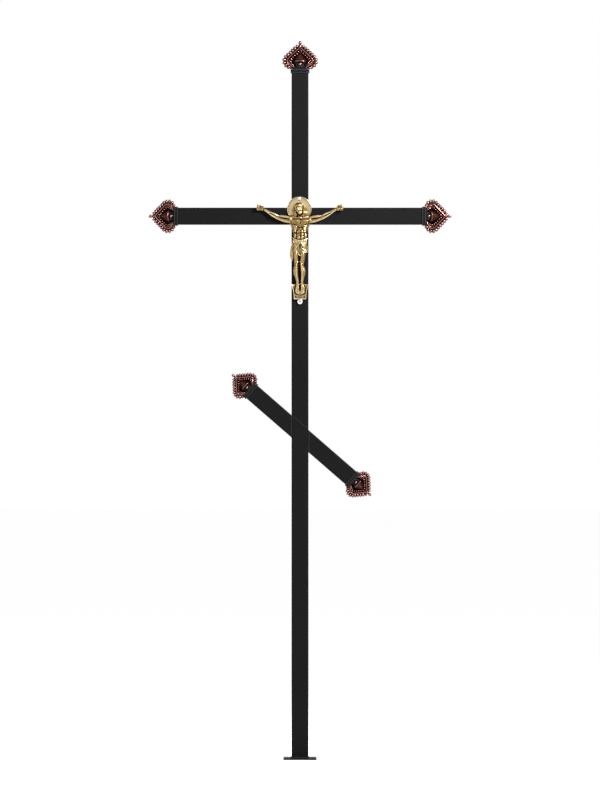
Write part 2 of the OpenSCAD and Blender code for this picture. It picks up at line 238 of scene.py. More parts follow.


# %% [markdown]
# ## From clay to metal
# A casting darkens in its hollows and is rubbed bright on its high spots. The clay block knows which is
# which: its distances are blurred, and a point that lies outside the blurred surface stands proud, while
# one inside it lies in a hollow. That number goes onto the mesh as an attribute of rub and painted
# shade, which the metal finishes read. Flanks that face sideways, rather than to the front or back, are
# made darker in it by a given share, which is painted shade. The mesh is thinned where it is smooth, so
# that the triangles are spent on the detail, and only its largest part is kept, because a casting is one
# piece.

# %% Cast the clay
def blurred(field, reach):
    """A running mean along each axis in turn, twice, which is close to a soft round blur."""
    width = 2 * reach + 1
    for _ in range(2):
        for axis in range(3):
            field = np.moveaxis(field, axis, 0)
            before, beyond = [field[:1]] * (reach + 1), [field[-1:]] * reach
            total = np.cumsum(np.concatenate(before + [field] + beyond), axis=0)
            field = np.moveaxis((total[width:] - total[:-width]) / width, 0, axis)
    return field


def sampled(field, spots):
    """The field's value at any spot, in steps of the grid."""
    spots = spots.clip(0, np.array(field.shape) - 1.001)
    base = spots.astype(int)
    part = spots - base
    value = np.zeros(len(spots))
    for corner in range(8):
        step = np.array([corner >> i & 1 for i in range(3)])
        weight = np.prod(np.where(step, part, 1 - part), axis=1)
        value += weight * field[tuple((base + step).T)]
    return value


def spots_of(mesh):
    """The mesh's points, one row each."""
    spots = np.empty(len(mesh.vertices) * 3, np.float32)
    mesh.vertices.foreach_get("co", spots)
    return spots.reshape(-1, 3)


def mark(mesh, name, values):
    """Writes a number for each point onto the mesh, under a name that a finish can read."""
    marks = mesh.attributes.get(name) or mesh.attributes.new(name, "FLOAT", "POINT")
    marks.data.foreach_set("value", values.astype(np.float32))


def mesh_from(name, points, quads):
    mesh = bpy.data.meshes.new(name)
    mesh.vertices.add(len(points))
    mesh.vertices.foreach_set("co", np.ascontiguousarray(points, np.float32).ravel())
    mesh.loops.add(quads.size)
    mesh.loops.foreach_set("vertex_index", np.ascontiguousarray(quads, np.int32).ravel())
    mesh.polygons.add(len(quads))
    mesh.polygons.foreach_set("loop_start", np.arange(0, quads.size, quads.shape[1], dtype=np.int32))
    mesh.update(calc_edges=True)
    mesh.polygons.foreach_set("use_smooth", np.ones(len(mesh.polygons), bool))
    return mesh


def keep_one_part(mesh):
    """Soft joins can leave bubbles and crumbs, and a casting is one piece: the largest is kept."""
    solid = bmesh.new()
    solid.from_mesh(mesh)
    unseen, parts = set(solid.verts), []
    while unseen:
        waiting, part = [unseen.pop()], []
        while waiting:
            corner = waiting.pop()
            part.append(corner)
            for edge in corner.link_edges:
                other = edge.other_vert(corner)
                if other in unseen:
                    unseen.remove(other)
                    waiting.append(other)
        parts.append(part)
    parts.sort(key=len)
    crumbs = [corner for part in parts[:-1] for corner in part]
    bmesh.ops.delete(solid, geom=crumbs, context="VERTS")
    solid.to_mesh(mesh)
    solid.free()
    print(mesh.name, "dropped", len(parts) - 1, "bubbles and crumbs")


def cast(clay, name, most_triangles, wide=2.4, fine=0.8, flank_shade=0.0):
    """The clay's surface as a mesh in millimetres, thinned, with its attribute of rub and painted shade.

    Wide and fine are how far round a point the surface is compared with it. The last share darkens
    flanks that face sideways rather than front or back, which is painted shade."""
    grid = openvdb.FloatGrid(SHELL)
    grid.copyFromArray(clay.gap)
    points, quads = grid.convertToQuads()
    points = clay.low + points * clay.grain
    a, b, c = (points[quads[:, i]] for i in range(3))
    if np.einsum("ij,ij->i", a, np.cross(b, c)).sum() < 0:
        quads = quads[:, ::-1]
    rough = mesh_from(name + "_rough", points, quads)
    holder = bpy.data.objects.new(name + "_rough", rough)
    bpy.context.scene.collection.objects.link(holder)
    thin = holder.modifiers.new("thin", "DECIMATE")
    thin.ratio = min(1.0, most_triangles / (2 * len(quads)))
    mesh = bpy.data.meshes.new_from_object(
        holder.evaluated_get(bpy.context.evaluated_depsgraph_get()))
    bpy.data.objects.remove(holder)
    bpy.data.meshes.remove(rough)
    mesh.name = name
    keep_one_part(mesh)
    spots = (spots_of(mesh) - clay.low) / clay.grain
    near = sampled(clay.gap, spots)
    rub_and_shade = np.zeros(len(spots))
    kept = clay.gap[::2, ::2, ::2].clip(-SHELL, SHELL)
    for reach, share in ((wide, 0.5), (fine, 0.8)):
        proud = sampled(blurred(kept, max(1, round(reach / clay.grain / 4))), spots / 2) - near
        rub_and_shade += share * proud / reach
    facing = np.empty(len(mesh.vertices) * 3, np.float32)
    mesh.vertex_normals.foreach_get("vector", facing)
    # flanks that face sideways rather than front or back; the given share of this darkens them, as
    # painted shade
    flank = 1 - ((np.abs(facing[1::3]) - 0.25) / 0.65).clip(0, 1)
    rub_and_shade = ((0.5 + rub_and_shade * 2.4).clip(0, 1) - flank_shade * flank).clip(0, 1)
    mark(mesh, "rub_and_shade", rub_and_shade)
    print(name, "triangles", len(mesh.polygons), "rub_and_shade", np.percentile(rub_and_shade, [5, 50, 95]).round(2))
    return mesh


def place(mesh, name, matrix, material):
    """A copy of the mesh set in its place, in metres; the place is in the mesh itself."""
    mesh = mesh.copy()
    mesh.transform(matrix)
    if matrix.determinant() < 0:
        mesh.flip_normals()
    mesh.name = name
    mesh.materials.clear()
    mesh.materials.append(material)
    piece = bpy.data.objects.new(name, mesh)
    bpy.context.scene.collection.objects.link(piece)
    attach(piece, "root")
    return piece


# %% [markdown]
# ## Finishes: small helpers for shader nodes
# A finish is a chain of nodes. These helpers keep each chain readable: one adds a node and sets its
# inputs, one gives noise at a size in millimetres, one turns a value into a colour ramp, and one
# reads how far a spot is rubbed.

# %% Helpers for finishes
class Finish:
    """One material, and the nodes that lead to its surface."""

    def __init__(self, name):
        self.material = bpy.data.materials.new(name)
        self.material.use_nodes = True
        self.tree = self.material.node_tree
        self.surface = self.tree.nodes["Principled BSDF"]
        self.place = self.node("TexCoord").outputs["Object"]

    def node(self, kind, **inputs):
        made = self.tree.nodes.new("ShaderNode" + kind)
        for name, value in inputs.items():
            self.feed(made.inputs[name.replace("_", " ")], value)
        return made

    def feed(self, socket, value):
        if isinstance(value, bpy.types.NodeSocket):
            self.tree.links.new(value, socket)
        else:
            socket.default_value = value

    def math(self, kind, a, b=0.0, clamp=False):
        made = self.tree.nodes.new("ShaderNodeMath")
        made.operation, made.use_clamp = kind, clamp
        self.feed(made.inputs[0], a)
        self.feed(made.inputs[1], b)
        return made.outputs[0]

    def vector(self, kind, a, b):
        made = self.node("VectorMath")
        made.operation = kind
        self.feed(made.inputs[0], a)
        self.feed(made.inputs[1], b)
        return made

    def attribute(self, name):
        made = self.node("Attribute")
        made.attribute_name = name
        return made.outputs["Fac"]

    def worn(self, size_mm, share):
        """How far each spot is rubbed, with painted shade on sideways flanks, made uneven by noise."""
        uneven = self.math("SUBTRACT", self.noise(size_mm, 4), 0.5)
        return self.math("ADD", self.attribute("rub_and_shade"), self.math("MULTIPLY", uneven, share), clamp=True)

    def noise(self, size_mm, detail=3.0, rough=0.55):
        made = self.node("TexNoise", Vector=self.place, Scale=1000 / size_mm, Detail=detail,
                         Roughness=rough)
        return made.outputs["Fac"]

    def between(self, value, low, high, to_low=0.0, to_high=1.0):
        made = self.node("MapRange", Value=value, From_Min=low, From_Max=high, To_Min=to_low,
                         To_Max=to_high)
        return made.outputs["Result"]

    def ramp(self, value, *stops):
        made = self.node("ValToRGB", Fac=value)
        held = made.color_ramp.elements
        while len(held) < len(stops):
            held.new(0.5)
        for stop, (at, colour) in zip(held, stops):
            stop.position, stop.color = at, (*colour, 1)
        return made.outputs["Color"]

    def bump(self, height, depth_mm):
        made = self.node("Bump", Height=height, Distance=depth_mm / 1000, Strength=1.0)
        return made.outputs["Normal"]

    def set(self, **inputs):
        for name, value in inputs.items():
            self.feed(self.surface.inputs[name.replace("_", " ")], value)
        return self.material


# %% [markdown]
# ## Black powder coat
# The tubes are sprayed with black powder and baked. Up close such a coat has a faint orange peel, a few
# specks where dust settled, and a thinner, slightly rubbed film along the long edges. The edges are
# found from the distance across each tube, so the finish asks which way the tube runs. The welds get the
# same coat with its colours made lighter, a painted highlight for the light that their ripples catch.

# %% The powder coat
EDGE_FROM, EDGE_FULL = 0.0035, 0.0008    # metres from the edge where wear starts and is full


def powder_coat(name, across, centre, half_w, half_d, thin=1.0):
    """The coat for one run of tube; thin above 1 lightens its colours, as a painted highlight."""
    look = Finish(name)
    moved = look.vector("SUBTRACT", look.place, tuple(centre)).outputs["Vector"]
    sideways = look.vector("DOT_PRODUCT", moved, tuple(across))
    wide = look.math("ABSOLUTE", sideways.outputs["Value"])
    deep = look.math("ABSOLUTE", look.node("SeparateXYZ", Vector=look.place).outputs["Y"])
    edge = look.math("MULTIPLY", look.between(wide, half_w - EDGE_FROM, half_w - EDGE_FULL),
                     look.between(deep, half_d - EDGE_FROM, half_d - EDGE_FULL))
    worn = look.math("MULTIPLY", edge, look.between(look.noise(22, 4), 0.5, 0.72))
    cloud = look.noise(160, 2)
    specks = look.between(look.noise(1.6, 1), 0.72, 0.78)
    tone = look.math("ADD", look.math("MULTIPLY", cloud, 0.5), look.math("MULTIPLY", specks, 0.25))
    tone = look.math("ADD", tone, look.math("MULTIPLY", worn, 0.55))
    colour = look.ramp(tone, (0.0, (0.0100 * thin, 0.0102 * thin, 0.0106 * thin)),
                       (0.5, (0.0145 * thin, 0.0147 * thin, 0.0151 * thin)),
                       (1.0, (0.048, 0.048, 0.049)))
    rough = look.math("ADD", look.between(look.noise(45, 3), 0.2, 0.8, 0.36, 0.46),
                      look.math("MULTIPLY", edge, 0.12))
    peel = look.bump(look.noise(2.2, 2), 0.035)
    return look.set(Base_Color=colour, Roughness=rough, Normal=peel, Specular_IOR_Level=0.03)


slope = Vector((math.cos(foot_slope), 0, math.sin(foot_slope)))
upright_coat = powder_coat("black_powder_coat_post", (1, 0, 0), (0, 0, 0), tube_half_w, tube_half_d)
level_coat = powder_coat("black_powder_coat_crossbar", (0, 0, 1), (0, 0, crossing.z),
                         tube_half_w, tube_half_d)
slant_coat = powder_coat("black_powder_coat_footbar", (-slope.z, 0, slope.x), foot_middle,
                         tube_half_w, tube_half_d)
plate_coat = powder_coat("black_powder_coat_plate", (1, 0, 0), (0, 0, 0),
                         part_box("base_plate")[1][0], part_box("base_plate")[1][1])
# the welds' coat is lighter all over: a painted highlight
weld_highlight_coat = powder_coat("black_powder_coat_welds_painted_highlight", (1, 0, 0), (0, 0, 0), tube_half_w, tube_half_d,
                        thin=2.6)
for node, coat in (("post_lower", upright_coat), ("post_upper", upright_coat),
                   ("crossbar_left", level_coat), ("crossbar_right", level_coat),
                   ("footbar_high", slant_coat), ("footbar_low", slant_coat),
                   ("base_plate", plate_coat)):
    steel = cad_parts[node]
    steel.data.materials.clear()
    steel.data.materials.append(coat)
    print(node, "gets", coat.name)

# %% [markdown]
# ## Old copper
# The finials are castings with an antique copper finish: black is rubbed into every hollow, the broad
# faces stay a deep red brown, and the beads are polished until they shine pink. One ramp on the
# attribute of rub and painted shade gives all three, and it also darkens flanks that face sideways,
# which is painted shade. The collar that slips over the tube, and the scoops behind the small balls, are
# painted black with the tubes. Where the paint ends is marked on the mesh as a second attribute, named
# bare, and a little noise makes the line between the two uneven, as it is on a part that was masked by
# hand.

# %% The copper finish
def old_copper(name):
    look = Finish(name)
    worn = look.worn(5, 0.30)
    copper = look.ramp(worn, (0.15, (0.0060, 0.0026, 0.0023)), (0.44, (0.036, 0.0118, 0.0098)),
                       (0.66, (0.070, 0.023, 0.020)), (0.88, (0.145, 0.056, 0.048)),
                       (1.0, (0.31, 0.15, 0.13)))
    ragged = look.math("ADD", look.attribute("bare"),
                       look.math("MULTIPLY", look.math("SUBTRACT", look.noise(3, 2), 0.5), 0.5))
    bare = look.between(ragged, 0.42, 0.58)
    black = look.ramp(worn, (0.3, (0.0035, 0.0035, 0.0042)), (0.7, (0.0075, 0.0075, 0.0085)),
                      (1.0, (0.045, 0.040, 0.040)))
    colour = look.node("Mix")
    colour.data_type = "RGBA"
    look.feed(colour.inputs[0], bare)
    look.feed(colour.inputs[6], black)
    look.feed(colour.inputs[7], copper)
    rough = look.between(worn, 0.3, 0.95, 0.46, 0.20)
    rough = look.math("ADD", rough, look.between(look.noise(1.2, 2), 0.3, 0.7, -0.04, 0.05))
    skin = look.bump(look.noise(0.9, 3), 0.02)
    return look.set(Base_Color=colour.outputs[2], Metallic=bare, Roughness=rough, Normal=skin,
                    Specular_IOR_Level=0.12)


# %% [markdown]
# ## The finial
# A finial is one casting: a collar that slips over the tube's end, a short neck with a ring, and a
# heart-shaped openwork of beads round a pointed bud. It could be put together from hundreds of
# small spheres, but a real casting has no seams, so it is modelled in clay: beads are set along two
# heart-shaped lines, a raised cord runs between them, and the bud is turned with a scoop cut out of
# each face, where a small ball sits. The model is the same front and back, as the pattern would be.
# Each line is drawn by its lobe's centre, its radius, where its arc starts and how high its tip is.

# %% The lines that the beads follow
def heart_side(centre, radius, first, tip_v, flank=45.4):
    """The right half of a heart: round the lobe, then straight to the tip on the middle line."""
    turns = np.radians(np.linspace(first, flank, 24))
    lobe = np.array(centre) + radius * np.column_stack([np.cos(turns), np.sin(turns)])
    return np.vstack([lobe, [[0.0, tip_v]]])


def along_line(line, pitch, stop_u):
    """Even steps along a line, as (point, direction), until it is near the middle."""
    parts = np.linalg.norm(np.diff(line, axis=0), axis=1)
    run = np.concatenate([[0], np.cumsum(parts)])
    last = np.interp(-stop_u, -line[20:, 0], run[20:])
    count = max(2, round(last / pitch))
    for s in np.linspace(0, last, count + 1):
        i = min(np.searchsorted(run, s, side="right") - 1, len(parts) - 1)
        way = (line[i + 1] - line[i]) / parts[i]
        yield line[i] + way * (s - run[i]), way


def lean(way):
    """Turns an egg so that its first radius lies along the line and its third across it."""
    return [(way[0], 0, way[1]), (0, 1, 0), (-way[1], 0, way[0])]


OUTER_BEADS = heart_side((25.5, 21.5), 17.4, -72, 71.0)
WEB = heart_side((23, 21.2), 15.5, -84, 61)
CORD = heart_side((21, 21), 13.5, -78, 60.5)
INNER_BEADS = heart_side((12.5, 20.5), 13, -62, 50.5)

# %% [markdown]
# The clay for a finial knows its own neck and size, so that one set of steps serves all five. Heights
# are in millimetres from the tube's end, and the ornament starts at the top of the collar.

# %% The clay for a finial
COLLAR_TOP = 3.0        # millimetres above the tube's end
WIDER = 1.035           # the openwork is drawn a little wider than its lines
WEB_HALF = 3.2          # half the web's thickness, in millimetres
NEAR_TIP = 10           # outer beads nearer the middle line than this are smaller


class FinialClay(Clay):
    """Millimetres: across, deep and up from the tube's end, with the ornament above its neck."""

    def __init__(self, neck, size, grain):
        super().__init__((-52, -22, -10), (52, 22, 81 + neck), grain)
        self.base, self.size = COLLAR_TOP + neck, size

    def at(self, u, w, v):
        return np.array([u * WIDER, w, v - COLLAR_TOP]) * self.size + (0, 0, self.base)

    def bead(self, u, w, v, radii, way=(1, 0), soft=0.5):
        for side in (-1, 1):
            turn = lean((way[0], side * way[1]))
            self.add(egg(self.at(side * u, w, v), np.array(radii) * self.size, turn), soft)

    def string(self, points, radii, soft=0.5, sides=(-1, 1)):
        for side in sides:
            for face in (-1, 1):
                line = [self.at(side * u, face * w, v) for u, w, v in points]
                self.add(roll(line, np.array(radii) * self.size), soft)

    def sheet(self, line, half):
        for side in (-1, 1):
            measure, low, high = roll([self.at(side * u, 0, v) for u, v in line], half * self.size)

            def flat(x, y, z, measure=measure):
                past_face = np.abs(y) - WEB_HALF * self.size
                return np.maximum(measure(x, 0 * y, z), past_face).astype(np.float32)
            self.add((flat, low, high), 0.4)


# %% The heart of beads
def lay_web(clay):
    """The thin sheet that carries the beads."""
    for line, half in ((WEB, 6.3), (CORD, 5.2), (INNER_BEADS, 3.4)):
        clay.sheet(line, half)
    clay.add(egg(clay.at(0, 0, 34), np.array((19, 2.7, 20)) * clay.size), 1.0)
    for side in (-1, 1):
        clay.add(egg(clay.at(side * 13.5, 0, 21), np.array((15, 2.7, 14.5)) * clay.size), 1.0)


def lay_beads(clay):
    for point, way in along_line(OUTER_BEADS, 8.75, 8.2):
        fat = 1.0 if point[0] > NEAR_TIP else 0.86
        clay.bead(point[0], 0, point[1], np.array((4.45, 5.4, 6.0)) * fat, way, 0.25)
    clay.string([(u, 3.4, v) for u, v in CORD], 1.75, 0.25)
    for point, way in along_line(INNER_BEADS, 7.3, 3.6):
        clay.bead(point[0], 0, point[1], (3.2, 6.7, 4.5), way, 0.2)


def lay_leaves(clay):
    """Three small leaves on each side, which close the heart beside the neck."""
    clay.string(flowing([(15.5, 5.5, 5.2), (21, 5.5, 7.2), (26.5, 5.0, 12), (30.5, 4.4, 19)]),
                [1.6, 2.6, 2.3, 1.2], 0.4)
    clay.string(flowing([(19.5, 5.0, 11), (22.5, 5.0, 14), (23.5, 4.6, 19)]), [0.9, 2.0, 0.8], 0.3)
    clay.string(flowing([(31, 3.2, 3.5), (26.5, 4.2, 3.2), (23, 4.6, 5.0)]), [1.2, 1.8, 1.2], 0.4)


# %% Bud, tip and collar
RING_AND_BUD = ((3.2, 13.4), (4.2, 14.6), (4.6, 15.6), (5.6, 15.9), (6.4, 15.4), (6.8, 14.4), (12, 14.6),
                (16, 18), (19, 19.8), (21, 20), (22.5, 19), (25, 17.8), (29, 15.6), (34, 12.3),
                (39, 8.4), (43, 4.6), (45.5, 1.4), (46.3, 0))     # height and radius


def turn_bud(clay):
    """Neck, ring and pointed bud, with a scoop in each face and a ball in the scoop."""
    clay.add(tube_block((0, 0, clay.base / 2 + 0.4), (23.2, 14.6, clay.base / 2 + 0.2), 6), 0.8)
    clay.add(spun([(clay.at(0, 0, v)[2], r * clay.size) for v, r in RING_AND_BUD]), 0.5)
    for face in (-1, 1):
        clay.cut(egg(clay.at(0, face * 20, 12.6), np.array((17.5, 10.5, 7.6)) * clay.size), 0.5)
        clay.add(egg(clay.at(0, face * 12.2, 12.4), np.array((5.6, 5.2, 5.4)) * clay.size), 0.3)
    lip = [(-16.5, 11.4, 18.6), (-11, 16.2, 20.6), (0, 19.2, 21.4), (11, 16.2, 20.6), (16.5, 11.4, 18.6)]
    clay.string(flowing(lip), [0.6, 1.2, 1.4, 1.2, 0.6], 0.3, sides=(1,))
    clay.string([(0, 17.0, 25), (0, 12.6, 33), (0, 5.5, 42.5)], [0.3, 0.7, 0.5], 1.2, sides=(1,))


def lay_tip(clay):
    clay.string([(0, 0, 52), (0, 0, 60)], 3.6, 0.8, sides=(1,))
    clay.string([(0, 0, 60), (0, 0, 72)], 3.2, 0.5, sides=(1,))
    clay.bead(0, 0, 62.8, (5.2, 5.2, 4.9), soft=0.3)
    clay.bead(0, 0, 72.6, (4.7, 4.6, 5.6), soft=0.35)


def fit_collar(clay):
    """A sleeve with a lip at each end, bored out to slip over the tube."""
    clay.add(tube_block((0, 0, -2.6), (27.9, 17.9, 5.3), 6.5), 0.0)
    clay.add(tube_block((0, 0, 1.6), (28.2, 18.2, 0.8), 6.6), 0.5)
    clay.add(tube_block((0, 0, -7.2), (28.2, 18.2, 0.7), 6.6), 0.5)
    clay.cut(tube_block((0, 0, -6), (25.25, 15.25, 6), 4.2), 0.0)


def finial_clay(neck, size, grain):
    clay = FinialClay(neck, size, grain)
    for step in (lay_web, lay_beads, lay_leaves, turn_bud, lay_tip, fit_collar):
        step(clay)
    return clay


MM = 0.001


def stand(origin, up, right):
    """Sets a casting's own across, deep and up onto the cross, from millimetres to metres."""
    up, right = Vector(up).normalized(), Vector(right).normalized()
    turn = Matrix((right, Vector((0, 1, 0)), up)).transposed().to_4x4()
    return Matrix.Translation(Vector(origin)) @ turn @ Matrix.Scale(MM, 4)


# %% [markdown]
# ## Three patterns, five finials
# The two crossbar finials share one pattern. The top one is a little larger, on a longer neck that
# fills its box in the construction model, and those on the foot bar are a little smaller, so three
# patterns are modelled. Each casting is then set on its tube's end.

# %% Cast and place the finials
SOCKET, REACH = 8.0, 79.5       # collar below the tube's end and ornament above it, in millimetres


def finial_size(node):
    low, high = (Vector(c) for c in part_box(node))
    return (high - low) / MM


TOP_SIZE, FOOT_SIZE = 1.055, 0.9            # beside the arm finials
ornament = (REACH - COLLAR_TOP) * TOP_SIZE
top_neck = round(finial_size("finial_top").z - SOCKET - COLLAR_TOP - ornament, 2)
grain = 0.42
most = 92000


def mark_paint(mesh, neck, size):
    """Marks the bare copper, apart from the painted collar, neck and scoops."""
    across, deep, up = spots_of(mesh).T
    across, deep = np.abs(across), np.abs(deep)
    above = (up - (COLLAR_TOP + 0.6 + neck)) / 0.8 + 0.5
    beside = np.maximum(across - 28.6, deep - 18.4) / 0.4
    in_scoop = (17.5 - across / size).clip(0, 1) * (15.5 - (up - COLLAR_TOP - neck) / size).clip(0, 1)
    ball = ((deep / size - 15.2) / 1.2).clip(0, 1)
    mark(mesh, "bare", np.maximum(above, beside).clip(0, 1) * (1 - in_scoop * (1 - ball)))
    return mesh


patterns = {}
for pattern, neck, size in (("arm", 0, 1.0), ("top", top_neck, TOP_SIZE), ("foot", 0, FOOT_SIZE)):
    model = cast(finial_clay(neck, size, grain), pattern + "_finial", most, flank_shade=0.6)
    patterns[pattern] = mark_paint(model, neck, size)
copper = old_copper("old_copper")
arm_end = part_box("crossbar_right")[1][0]
post_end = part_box("post_upper")[1][2]
foot_reach = {}
for node in ("footbar_high", "footbar_low"):
    low, high = (Vector(c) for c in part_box(node))
    far = high.x if node == "footbar_low" else -low.x
    foot_reach[node] = (far - tube_half_w * abs(slope.z)) / slope.x
finials = (
    ("finial_right", "arm", (arm_end, 0, crossing.z), (1, 0, 0)),
    ("finial_left", "arm", (-arm_end, 0, crossing.z), (-1, 0, 0)),
    ("finial_top", "top", (0, 0, post_end), (0, 0, 1)),
    ("finial_foot_low", "foot", foot_middle + slope * foot_reach["footbar_low"], slope),
    ("finial_foot_high", "foot", foot_middle - slope * foot_reach["footbar_high"], -slope),
)
for node, pattern, end, up in finials:
    up = Vector(up)
    piece = place(patterns[pattern], "cast_" + node, stand(end, up, (up.z, 0, -up.x)), copper)
    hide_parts(node)
    print(piece.name, "stands at", tuple(round(v, 4) for v in end))

# %% [markdown]
# ## Aged brass
# The figure is cast in brass and aged: brown lacquer is left in the folds, the broad forms are a warm
# satin gold, and brows, knees and the edges of the cloth are nearly white where they have been polished.
# Flanks that face sideways are made darker as well, which is painted shade. Fine grain from the sand of
# the mould shows as a very light bump.

# %% The brass finish
def aged_brass(name):
    look = Finish(name)
    worn = look.worn(7, 0.22)
    colour = look.ramp(worn, (0.16, (0.014, 0.0060, 0.0015)), (0.37, (0.075, 0.040, 0.011)),
                       (0.52, (0.31, 0.205, 0.082)), (0.80, (0.43, 0.315, 0.150)),
                       (1.0, (0.68, 0.54, 0.315)))
    rough = look.math("ADD", look.between(worn, 0.2, 0.8, 0.44, 0.24),
                      look.between(look.noise(1.6, 2), 0.3, 0.7, -0.03, 0.05))
    return look.set(Base_Color=colour, Metallic=1.0, Roughness=rough,
                    Normal=look.bump(look.noise(0.8, 3), 0.018))


brass = aged_brass("aged_brass")

# %% [markdown]
# ## The crucifix figure: halo and footrest
# Sizes are in millimetres from the crossing: x to the right, d proud of the tube's face, z up. The
# figure is one block of clay, and six tool strokes shape it: a lump, a dent, a straight roll, a
# straight groove, and a strand and a furrow that flow through their points. The last number of each
# stroke is how softly it blends. The halo is a thin dish with a raised rim and three faint arms of
# fine rays. The footrest is a small console that narrows in a curve, with a sunk strip and a
# bow-shaped relief near its lower edge.

# %% Halo and footrest
figure_grain = 0.42
figure = Clay((-132, -2, -263), (132, 35, 60), figure_grain)
HALO, HALO_R = np.array([-2.0, 21.0]), 36.2


def lump(centre, radii, soft, turn=None):
    figure.add(egg(centre, radii, turn), soft)


def dent(centre, radii, soft):
    figure.cut(egg(centre, radii), soft)


def rolled(points, radii, soft):
    figure.add(roll(points, radii), soft)


def groove(points, radii, soft):
    figure.cut(roll(points, radii), soft)


def strand(points, radii, soft):
    figure.add(roll(flowing(points), radii), soft)


def furrow(points, radii, soft):
    figure.cut(roll(flowing(points), radii), soft)


def halo_disc():
    def measure(x, y, z):
        px, pz = x - HALO[0], z - HALO[1]
        away = np.sqrt(px ** 2 + pz ** 2)
        ray = np.cos(np.arctan2(pz, px) * 64) * 0.02 * ((away - 15) / 6).clip(0, 1)
        front = y - (2.0 + ray + 0.4 * (away / HALO_R) ** 2)
        return np.maximum(np.maximum(away - HALO_R, front), -y).astype(np.float32)
    reach = np.array([HALO_R, 0, HALO_R])
    middle_at = np.array([HALO[0], 0, HALO[1]])
    return measure, middle_at - reach, middle_at + reach + (0, 3.2, 0)


figure.add(halo_disc())
figure.add(hoop(*HALO, HALO_R - 1.3, 1.9, 1.3), 0.4)
figure.add(hoop(*HALO, HALO_R - 4.4, 2.0, 0.5), 0.4)
for turn_deg in (0, 90, 180):
    for spread in (-7.5, 0, 7.5):
        way = math.radians(turn_deg + spread)
        points = [(HALO[0] + r * math.cos(way), 1.9, HALO[1] + r * math.sin(way)) for r in (15, 31)]
        rolled(points, [0.6, 1.0], 0.5)


def footrest_block():
    heights = np.array([-245.0, -243.5, -238, -230, -220, -210, -206, -201])
    halves = np.array([17.4, 18.2, 18.4, 19.0, 20.4, 22.6, 24.4, 25.0])

    def measure(x, y, z):
        side = np.abs(x) - np.interp(z, heights, halves)
        depth = y - np.interp(z, [-245, -230, -204, -201], [8.2, 8.4, 6.2, 5.6])
        ends = np.maximum(heights[0] - z, z - heights[-1])
        return np.maximum(np.maximum(side, depth), np.maximum(ends, -y)).astype(np.float32)
    return measure, np.array([-25.0, 0, -245]), np.array([25.0, 8.4, -201])


figure.add(footrest_block(), 0.0)
for side in (-1, 1):
    border = [(side * h, d, z) for h, d, z in (
        (23.6, 5.6, -202.6), (22.8, 6.4, -206), (21, 7.2, -211), (18.9, 7.8, -220), (17.5, 8.1, -230),
        (17.0, 8.1, -240), (15.5, 8.0, -243.2), (0, 8, -243.2))]
    rolled(border, 1.2, 0.5)
bow = [(0, 9.2, -233.2), (7, 9.2, -232), (12.5, 9.0, -228), (15.8, 8.4, -221), (15.4, 7.6, -212),
       (13, 6.8, -204), (12, 6.5, -200)]
for side in (-1, 1):
    furrow([(side * x, d, z) for x, d, z in bow], 1.9, 0.8)
STRIP_Z = -237.9        # middle of the sunk strip
figure.cut(slab((0, 9.4, STRIP_Z), (14.8, 2.0, 2.7), 0.6), 0.3)
for side in (-1, 1):
    for edge in (-1, 1):
        cross_line = [(side * 13.2, 7.3, STRIP_Z + edge * 1.7), (0, 7.7, STRIP_Z)]
        rolled(cross_line, [0.75, 0.55], 0.3)
LUG_Z = (middle("screw_bottom").z - crossing.z) / MM
TOP_SCREW = np.array([middle("screw_top").x, middle("screw_top").z - crossing.z]) / MM
figure.add(hoop(0, LUG_Z, 4.6, 1.5, 1.5), 0.0)
figure.add(slab((0, 1.45, LUG_Z + 4), (6.2, 1.45, 5), 0.4), 0.6)
print("footrest and halo modelled; screws at", round(LUG_Z, 1), TOP_SCREW.round(1))

# %% [markdown]
# ## The crucifix figure: body
# The body is built as a sculptor builds it: first the big masses, then muscles as flattened eggs,
# and last the grooves between them. The rib cage arches over a drawn-in belly, the arms hang in two
# long muscles with a deep furrow, and the knees lean together.

